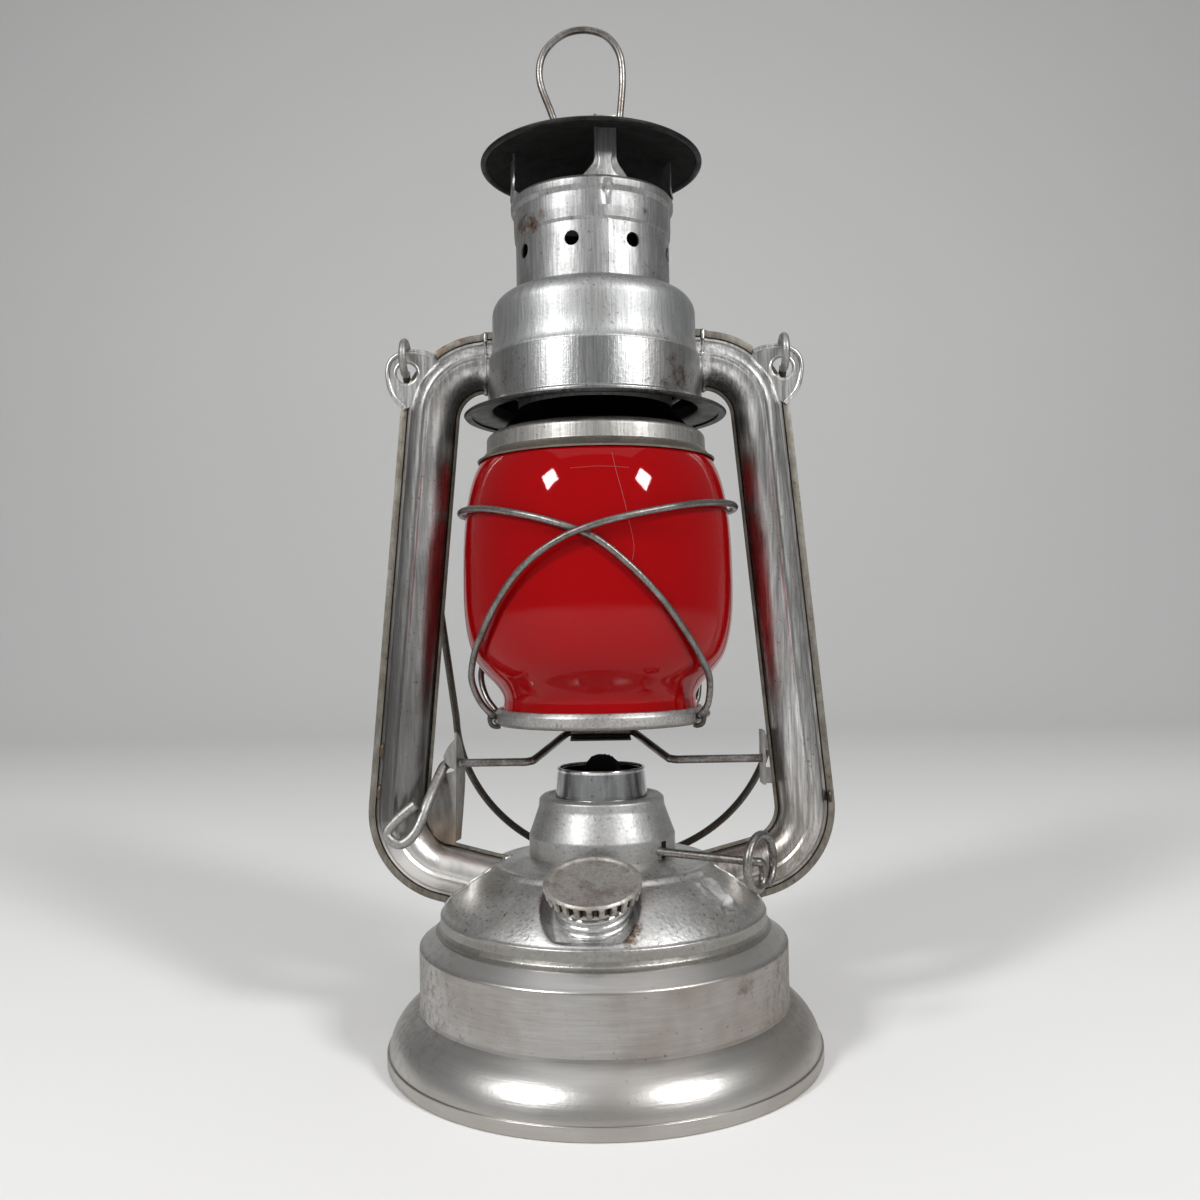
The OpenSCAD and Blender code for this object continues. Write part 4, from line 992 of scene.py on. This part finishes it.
chimneySettings = {
    "radius": 24.8, "foot": 204.0, "top": 269.0, "holes": 8, "holeRadius": 2.3, "holeHeight": 252.4,
    "holeTurn": -90 + 30.3, "seamTurn": -77, "seamWidth": 1.4, "seamStep": 0.12, "seamMiddle": 253.4,
    "seamLength": 24.6,
    "globeCap": [(38.2, 187.2), (36.9, 187.9, 0.8), (35.25, 189.9, 0.9), (35.1, 194.6, 1.8),
                 (32.8, 196.1, 1.2), (30.6, 196.9), (26.2, 201.6), (24.9, 204.0)],
}


def ventPanel(s, centre, size):
    # flat square panel with one round hole
    bm = bmesh.new()
    ring, frameRing = [], []
    for i in range(40):
        a = 2 * pi * i / 40
        reach = size / 2 / max(abs(cos(a)), abs(sin(a)))
        for points, r in ((ring, s["holeRadius"]), (frameRing, reach)):
            points.append((centre + r * cos(a), 0, s["holeHeight"] + r * sin(a)))
    loops = chainEdges(bm, ring, True)[1] + chainEdges(bm, frameRing, True)[1]
    bmesh.ops.bridge_loops(bm, edges=loops)
    radial = [e for e in bm.edges if e not in loops]
    bmesh.ops.subdivide_edges(bm, edges=radial, cuts=5, use_grid_fill=True)
    return bm


def buildChimney(s):
    spunPiece("globeCap", s["globeCap"], ringTin, "chimney", ["globe_cap"], steps=160)
    wall = bmesh.new()
    pitch = 2 * pi * s["radius"] / s["holes"]
    for k in range(s["holes"]):
        joinDraft(wall, ventPanel(s, (k + 0.5) * pitch, pitch))
    bmesh.ops.remove_doubles(wall, verts=wall.verts, dist=1e-3)
    for level, goal in ((s["holeHeight"] - pitch / 2, s["foot"]), (s["holeHeight"] + pitch / 2, s["top"])):
        edges = [e for e in wall.edges if e.is_boundary and all(abs(v.co.z - level) < 1e-3 for v in e.verts)]
        for v in vertsIn(bmesh.ops.extrude_edge_only(wall, edges=edges)["geom"]):
            v.co.z = goal
    wrapRound(wall, s["radius"], s["holeTurn"] - 180 / s["holes"])
    bmesh.ops.remove_doubles(wall, verts=wall.verts, dist=2e-6)
    setNormals(wall)
    seat(meshPiece(wall, "chimneyTube"), chimneyTin, "chimney", ["chimney"], 0.6, sootAndShadeSteel)
    bm = bmesh.new()  # lapped seam down the front of the tube
    bmesh.ops.create_grid(bm, x_segments=10, y_segments=2, size=0.5)
    for v in bm.verts:
        lap = 0.02 + s["seamStep"] * (0.5 - v.co.x)
        v.co = (v.co.x * s["seamWidth"], lap, s["seamMiddle"] + s["seamLength"] * v.co.y)
    wrapRound(bm, s["radius"], s["seamTurn"])
    faceOut(bm)
    seat(meshPiece(bm, "chimneySeam"), chimneyTin, "chimney", wall=0.15)


hoodSettings = {
    "ringRadius": 24.8, "postTurn": -80, "postHalf": 3.0, "postFoot": 269.6, "postTop": 289.5,
    "archWidth": 9.0, "archHeight": 7.5, "edgeWidth": 1.0, "edgeFlare": 0.8, "dent": 0.9, "dentWidth": 0.8,
    "dentFrom": 262, "dentTo": 270.5, "postOut": 0.55, "flatPart": 0.75, "spreadLimit": 0.93,
    "radius": 36.0, "foot": 283.6, "rise": 8.5, "loopWire": 1.15,
    "loop": [(-10, 6.6), (-10.1, 10), (-12.6, 18), (-16.3, 29), (-15.2, 37.5), (-9.5, 43.6), (-2, 45.6),
             (5.5, 43.5), (9.8, 37.5), (10.7, 29), (9.8, 18), (9.1, 10), (9, 6.6)],
}


def postDent(s, x, z):
    low, high = s["dentFrom"], s["dentTo"]
    return s["dent"] * hump(x, s["dentWidth"]) * smoothStep(z, low, low + 3) * smoothStep(high - z, 0, 2)


def buildPosts(s):
    r = s["ringRadius"]
    bm = spunMesh(rounded([
        (r + 0.02, 257.9), (r + 0.4, 258.8, 0.6), (r + 0.6, 262, 4), (r + 0.65, 266.2, 0.5),
        (r + 0.55, 266.7, 0.4), (r + 1.5, 268.0, 1.0), (r + 1.6, 270.2, 1.2), (r + 0.8, 271.2, 0.6),
        (r + 0.3, 271.1),
    ]), 320)
    for v in bm.verts:
        x, y, z = v.co / mm
        offPost = (math.degrees(atan2(y, x)) - s["postTurn"] + 45) % 90 - 45
        shrink = 1 - postDent(s, radians(offPost) * r, z) / r
        v.co.x *= shrink
        v.co.y *= shrink
    seat(meshPiece(bm, "spiderRing"), chimneyTin, "chimney", ["hood_spider"], 0.5)

    posts = bmesh.new()
    for k in range(4):
        bm = bmesh.new()
        bmesh.ops.create_grid(bm, x_segments=40, y_segments=32, size=0.5)
        for v in bm.verts:
            part = 2 * abs(v.co.x)
            z = s["postFoot"] + (s["postTop"] - s["postFoot"]) * (v.co.y + 0.5) ** 1.5
            spread = max(0.0, (s["postFoot"] + s["archHeight"] - z) / s["archHeight"])
            spread = min(s["spreadLimit"], spread)
            half = s["postHalf"] + s["archWidth"] * (1 - sqrt(1 - spread * spread))
            lip = s["edgeWidth"] * (1 + 2 * spread)
            flat = half - lip
            if part < s["flatPart"]:
                x = flat * part / s["flatPart"]
            else:
                x = half - 4 * lip * (1 - part)  # the edges fold out
            fade = smoothStep(s["spreadLimit"] - spread, 0, 0.4)
            out = s["postOut"] + s["edgeFlare"] * (1 + spread) * max(0.0, (x - flat) / lip) * fade
            v.co = (math.copysign(x, v.co.x), out - postDent(s, x, z), z)
        wrapRound(bm, r, s["postTurn"] + 90 * k)
        joinDraft(posts, bm)
    faceOut(posts)
    seat(meshPiece(posts, "hoodPosts", 60), chimneyTin, "chimney", wall=0.6)


def buildHood(s):
    r, z, rise = s["radius"], s["foot"], s["rise"]
    top = arc((r - 2.0, z + 1.4), (1.0, z + rise), 110, 14)
    edge = [(r - 2.0, z + 0.15), (r - 1.3, z - 0.75, 0.6), (r - 0.3, z - 0.5, 0.6), (r, z + 0.5, 0.7)]
    spunPiece("chimneyHood", edge + [(r - 0.9, z + 1.15, 0.6)] + top + [(0, z + rise)], hoodSteel,
              "chimney", ["hood"], wall=0.45, steps=160)
    lining = [(r - 2.1, z + 0.5), (r - 8, z + 1.6), (r - 20, z + 5.2), (0, z + rise - 1.1)]
    spunPiece("hoodLining", lining, sootAndShadeSteel, "chimney", wall=0.3, steps=96)
    loop = smoothThrough([(x, 0, z + up) for x, up in s["loop"]], 8)
    wirePiece("pullLoop", loop, s["loopWire"], wireSteel, "chimney", ["pull_ring"])


buildChimney(chimneySettings)
buildPosts(hoodSettings)
buildHood(hoodSettings)
print("chamber and chimney made")

# globe and what carries it

globeSettings = {
    "low": [(31.2, 104.3), (31.4, 107.0), (30.8, 110.0), (31.0, 112.6), (33.2, 116.0), (36.4, 119.5),
            (38.9, 122.8), (40.5, 126.0), (41.9, 131.0), (42.75, 136.5), (43.1, 141.5)],
    "belly": 146.0, "radius": 43.2, "swell": 12.6, "shoulder": 44.0, "power": 2.6, "neck": 33.4,
    "top": 194.6, "glass": 2.4, "shoulderTop": 186.5,
    "crack": [(4.7, 184.5), (5.8, 178.9), (7.4, 172.4), (9.2, 164.3), (10.5, 157.1), (10.0, 152.8)],
    "scratch": [(-7.5, 179.8), (1.2, 180.2), (9.5, 179.8)], "hairline": 0.07, "plateRadius": 33.0,
    "plate": 103.4,
}


def globeRadius(s, z):
    share = max(0.0, 1 - ((z - s["belly"]) / s["shoulder"]) ** s["power"])
    return s["radius"] - s["swell"] * (1 - share ** (1 / s["power"]))


def buildGlobe(s):
    lower = [tuple(p) for p in smoothThrough(s["low"] + [(s["radius"], s["belly"])], 4)]
    heights = [s["belly"] + (s["shoulderTop"] - s["belly"]) * sin(radians(a)) for a in range(3, 91, 3)]
    neck = s["neck"]
    outer = lower + [(globeRadius(s, z), z) for z in heights] + [
        (36.4, 187.3, 0.6), (34.3, 188.0, 0.6), (neck, 189.0, 0.6), (neck, s["top"] - 0.1, 0.5)]
    inner = [(p[0] - s["glass"], p[1]) for p in reversed(outer)]
    spunPiece("redGlobe", outer + inner, rubyGlass, "globe_carriage", ["globe"], steps=160, closed=True,
              sharp=60)
    r, z = s["plateRadius"], s["plate"]
    spunPiece("plateRim", [
        (r - 1.5, z + 0.1), (r - 0.5, z - 0.1, 0.5), (r + 0.5, z + 1.0, 1.2), (r + 0.5, z + 3.7, 1.6),
        (r - 0.4, z + 5.2, 1.0), (r - 1.3, z + 4.9, 0.4), (r - 1.5, z + 4.0),
    ], rimTin, "globe_carriage", wall=0.4, steps=144)
    for name, line in (("globeCrack", s["crack"]), ("globeScratch", s["scratch"])):
        path = []
        for x, h in smoothThrough(line, 6):
            path.append((x, -sqrt((globeRadius(s, h) + 0.02) ** 2 - x * x), h))
        wirePiece(name, path, s["hairline"], crackGlass, "globe_carriage", sides=1)


buildGlobe(globeSettings)

guardSettings = {
    "wire": 1.05, "low": 106.0, "rise": 65.4, "lowRadius": 34.1, "radius": 45.2, "tie": 0.75,
    "tieBends": [(1.3, 107.4), (1.5, 105.4), (0.9, 103.6), (-0.6, 103.0), (-1.8, 103.2)],
    # angle from the low end, share of the rise, share of the way out from the plate to the globe
    "left": [(0, 0, 0.01), (12, 0.005, 0.04), (15, 0.08, 0.42), (19, 0.183, 0.7), (27, 0.294, 0.8),
             (38, 0.4, 0.925), (49, 0.54, 1.02), (62, 0.695, 1.07), (76, 0.806, 1.09), (90, 0.872, 1.1),
             (108, 0.925, 1.06), (131, 0.973, 0.973), (156, 0.997, 0.93), (180, 1, 0.928)],
    "right": [(0, 0, 0.02), (14, 0, 0.02), (26, 0, 0.02), (29, 0.06, 0.33), (32.5, 0.17, 0.5),
              (44, 0.28, 0.71), (55, 0.405, 0.865), (67, 0.562, 0.935), (79, 0.703, 0.93),
              (91, 0.816, 0.905), (104, 0.879, 0.892), (121, 0.935, 0.888), (146, 0.982, 0.882),
              (180, 0.99, 0.876)],
}


def buildGuard(name, node, side, bends, s):
    half = []
    for turn, up, out in smoothThrough(bends, 5):
        x, y = polar(s["lowRadius"] + (s["radius"] - s["lowRadius"]) * out, turn)
        half.append((side * x, -y, s["low"] + s["rise"] * up))
    back = [(x, -y, z) for x, y, z in reversed(half[1:-1])]
    wirePiece(name, half + back, s["wire"], wireSteel, "globe_carriage", [node], closed=True)
    for number, front in enumerate((-1, 1)):  # short hook that ties the guard to the plate's rim
        tie = []
        for out, z in s["tieBends"]:
            x, y = polar(s["lowRadius"] + out, bends[1 if side < 0 else 2][0])
            tie.append((side * x, front * y, z))
        tie = smoothThrough(tie, 4)
        wirePiece("%sTie%d" % (name, number), tie, s["tie"], bailSteel, "globe_carriage")


buildGuard("globeGuardLeft", "guard_left", -1, guardSettings["left"], guardSettings)
buildGuard("globeGuardRight", "guard_right", 1, guardSettings["right"], guardSettings)
print("globe and guards made")

# lifter, bail and winder

lifterSettings = {
    "wire": 1.3, "leverWire": 1.65, "axis": 91.0, "left": -45.8, "right": 52.0, "crankRadius": 26.9,
    "crankUp": 14.9, "half": 11.4, "foot": 22.0,
    "lever": [(-50.4, -1.2, 90), (-51.8, -4.4, 86.6), (-54.2, -10.5, 80), (-57.6, -13.4, 71.6),
              (-62.3, -14, 68), (-66.4, -14, 71), (-63.2, -13.8, 75.4), (-57.6, -13.6, 80)],
}


def buildLifter(s):
    z, foot, half = s["axis"], s["foot"], s["half"]
    barY, barUp = polar(s["crankRadius"], s["crankUp"])
    barZ = z + barUp
    arm = [
        (foot + 8, 0, z), (foot + 5, 0, z), (foot + 2.4, 0, z), (foot + 0.6, 0.8, z + 0.2),
        (foot - 1, 3, z + 0.8), (half + 1.4, barY - 4, barZ - 1), (half, barY - 0.8, barZ - 0.2),
        (half - 2, barY, barZ),
    ]
    crank = smoothThrough([(-x, y, h) for x, y, h in arm] + list(reversed(arm)), 8)
    bar = [Vector((s["left"] - 1, 0, z))] + crank + [Vector((s["right"] + 1.2, 0, z))]
    wirePiece("lifterCrank", bar, s["wire"], wireSteel, "lifter", ["lifter"], sides=4)
    start = [Vector((s["left"] + 1, 0, z)), Vector((s["left"] - 1, 0, z))]
    lever = smoothThrough([(s["left"] - 3.2, 0, z)] + s["lever"], 8)
    wirePiece("lifterLever", start + lever, s["leverWire"], leverSteel, "lifter", sides=4)


buildLifter(lifterSettings)

leafSettings = {
    "fold": (-45.8, 101.0), "foldLean": 0.022, "front": -4.0, "sheet": 0.7,
    "strip": [(101.1, 0.05), (99.5, 0.36), (97, 0.6), (92, 0.9), (86, 1.0), (79, 0.9), (72.5, 0.75),
              (66.6, 0.6)],
    "stripDepth": 8.0, "stripLean": 2.0,
    "flap": [(99.3, 0.3), (97.2, 2.3), (94.6, 3.8), (92.8, 4.1), (91.3, 3.2), (90.1, 1.9), (89.3, 0.3)],
    "plate": [(89.0, 0.6), (88.2, 3.2), (87.0, 5.4), (84.5, 6.9), (79, 8.7), (75, 10.0), (72.3, 10.3),
              (70.3, 9.2), (68.4, 7.6), (67.0, 6.0), (66.2, 4.4), (65.8, 3.0)],
}


def buildLeaf(s):
    bracket = bmesh.new()
    for rows, kind in ((s["strip"], "strip"), (s["flap"], "flap"), (s["plate"], "plate")):
        edge = smoothThrough(rows, 5)
        bm = bmesh.new()
        bmesh.ops.create_grid(bm, x_segments=8, y_segments=len(edge) - 1, size=0.5)
        for v in bm.verts:
            z, wide = edge[round((v.co.y + 0.5) * (len(edge) - 1))]
            reach = (v.co.x + 0.5) * wide
            fold = s["fold"][0] - s["foldLean"] * (s["fold"][1] - z)
            if kind == "strip":
                v.co = (fold + s["stripLean"] * reach, s["front"] + s["stripDepth"] * reach, z)
            else:
                back = 0.2 * reach if kind == "flap" else 3.6 * smoothStep(reach, 0, 9)
                v.co = (fold - reach, s["front"] + back, z)
        toMetres(bm)
        setNormals(bm)
        if sum(f.normal.x - 2 * f.normal.y for f in bm.faces) < 0:
            bmesh.ops.reverse_faces(bm, faces=bm.faces)
        joinDraft(bracket, bm)
    seat(meshPiece(bracket, "leafBracket"), bracketSteel, "frame", ["left_bracket"], s["sheet"])


buildLeaf(leafSettings)

bailSettings = {
    "wire": 1.3, "ear": 61.4, "axis": 222.1, "hook": 5.1, "sweep": 262, "lean": 16, "step": 2.0,
    "leg": 124.7, "bow": 56.0, "shift": 5.0, "legFrom": 14,
    "legShares": [0, 0.05, 0.15, 0.35, 0.6, 0.82, 0.92, 0.97],
}


def buildBail(s):
    lean = radians(s["lean"])
    out = Vector((0, sin(lean), -cos(lean)))
    behind = Vector((0, cos(lean), sin(lean)))
    ear, hook = s["ear"], s["hook"]

    def hung(x, reach, step=s["step"]):
        return Vector((x, 0, s["axis"])) + reach * out + step * behind

    bow = []
    for a in range(0, 181, 5):
        x, y = polar(s["bow"], a)
        bow.append(hung(s["shift"] - x, s["leg"] + y))
    legs = []
    for side in (-1, 1):
        start, end = side * (ear - 0.4), s["shift"] + side * s["bow"]
        leg = [hung(side * ear, hook - 0.6, 0), hung(side * (ear - 0.2), 9, 1.1)]
        for t in s["legShares"]:
            leg.append(hung(start + (end - start) * t, s["legFrom"] + (s["leg"] - s["legFrom"]) * t))
        legs.append(leg)
    path = smoothThrough(legs[0] + bow + legs[1][::-1], 3)
    wirePiece("bailBow", path, s["wire"], bailSteel, "bail", ["bail"], sides=4)
    for name, x in (("bailHookLeft", -ear), ("bailHookRight", ear)):
        loop = []
        for i in range(41):
            y, z = polar(hook, s["lean"] - 90 - s["sweep"] * (1 - i / 40))
            loop.append((x, y, s["axis"] + z))
        wirePiece(name, loop, s["wire"], leverSteel, "bail", sides=4)


buildBail(bailSettings)

winderSettings = {"wire": 1.3, "turn": -33, "front": 3.15, "height": 64.6, "from": -10.2, "reach": 56.0,
                  "ring": 7.9}


def buildWinder(s):
    turn = Matrix.Rotation(radians(s["turn"]), 4, "Z")
    place = turn @ Matrix.Translation((0, -s["front"], s["height"]))
    ring, reach = s["ring"], s["reach"]
    path = [Vector((x, 0, 0)) for x in (s["from"], 10, reach - 4, reach - 1.2)]
    for a in range(80, -75, -12):
        y, z = polar(ring / 2, a)
        path.append(Vector((reach, y, z - ring / 2)))
    for a in range(-90, -421, -10):
        y, z = polar(ring, a)
        path.append(Vector((reach + 1.6 * (-90 - a) / 330, y, z)))
    wirePiece("winderWire", [place @ p for p in path], s["wire"], wireSteel, "winder", ["winder"], sides=4)


buildWinder(winderSettings)
print("wires made")

# CAD pieces that stay as they are

keptLooks = {
    "tank_top": tankTin, "burner_deck": sootAndShadeSteel, "wick_tube": sootAndShadeSteel, "right_bracket": bracketSteel,
    "chimney_spring": wireSteel, "spur_wheels": shinyReflectionStreakTin, "cap_gasket": corkGasket, "globe_plate": rimTin,
    "lifter_clip": shadedClipSteel,
}

for name, material in keptLooks.items():
    nodes[name].data.materials.clear()
    nodes[name].data.materials.append(material)
print("kept pieces dressed")
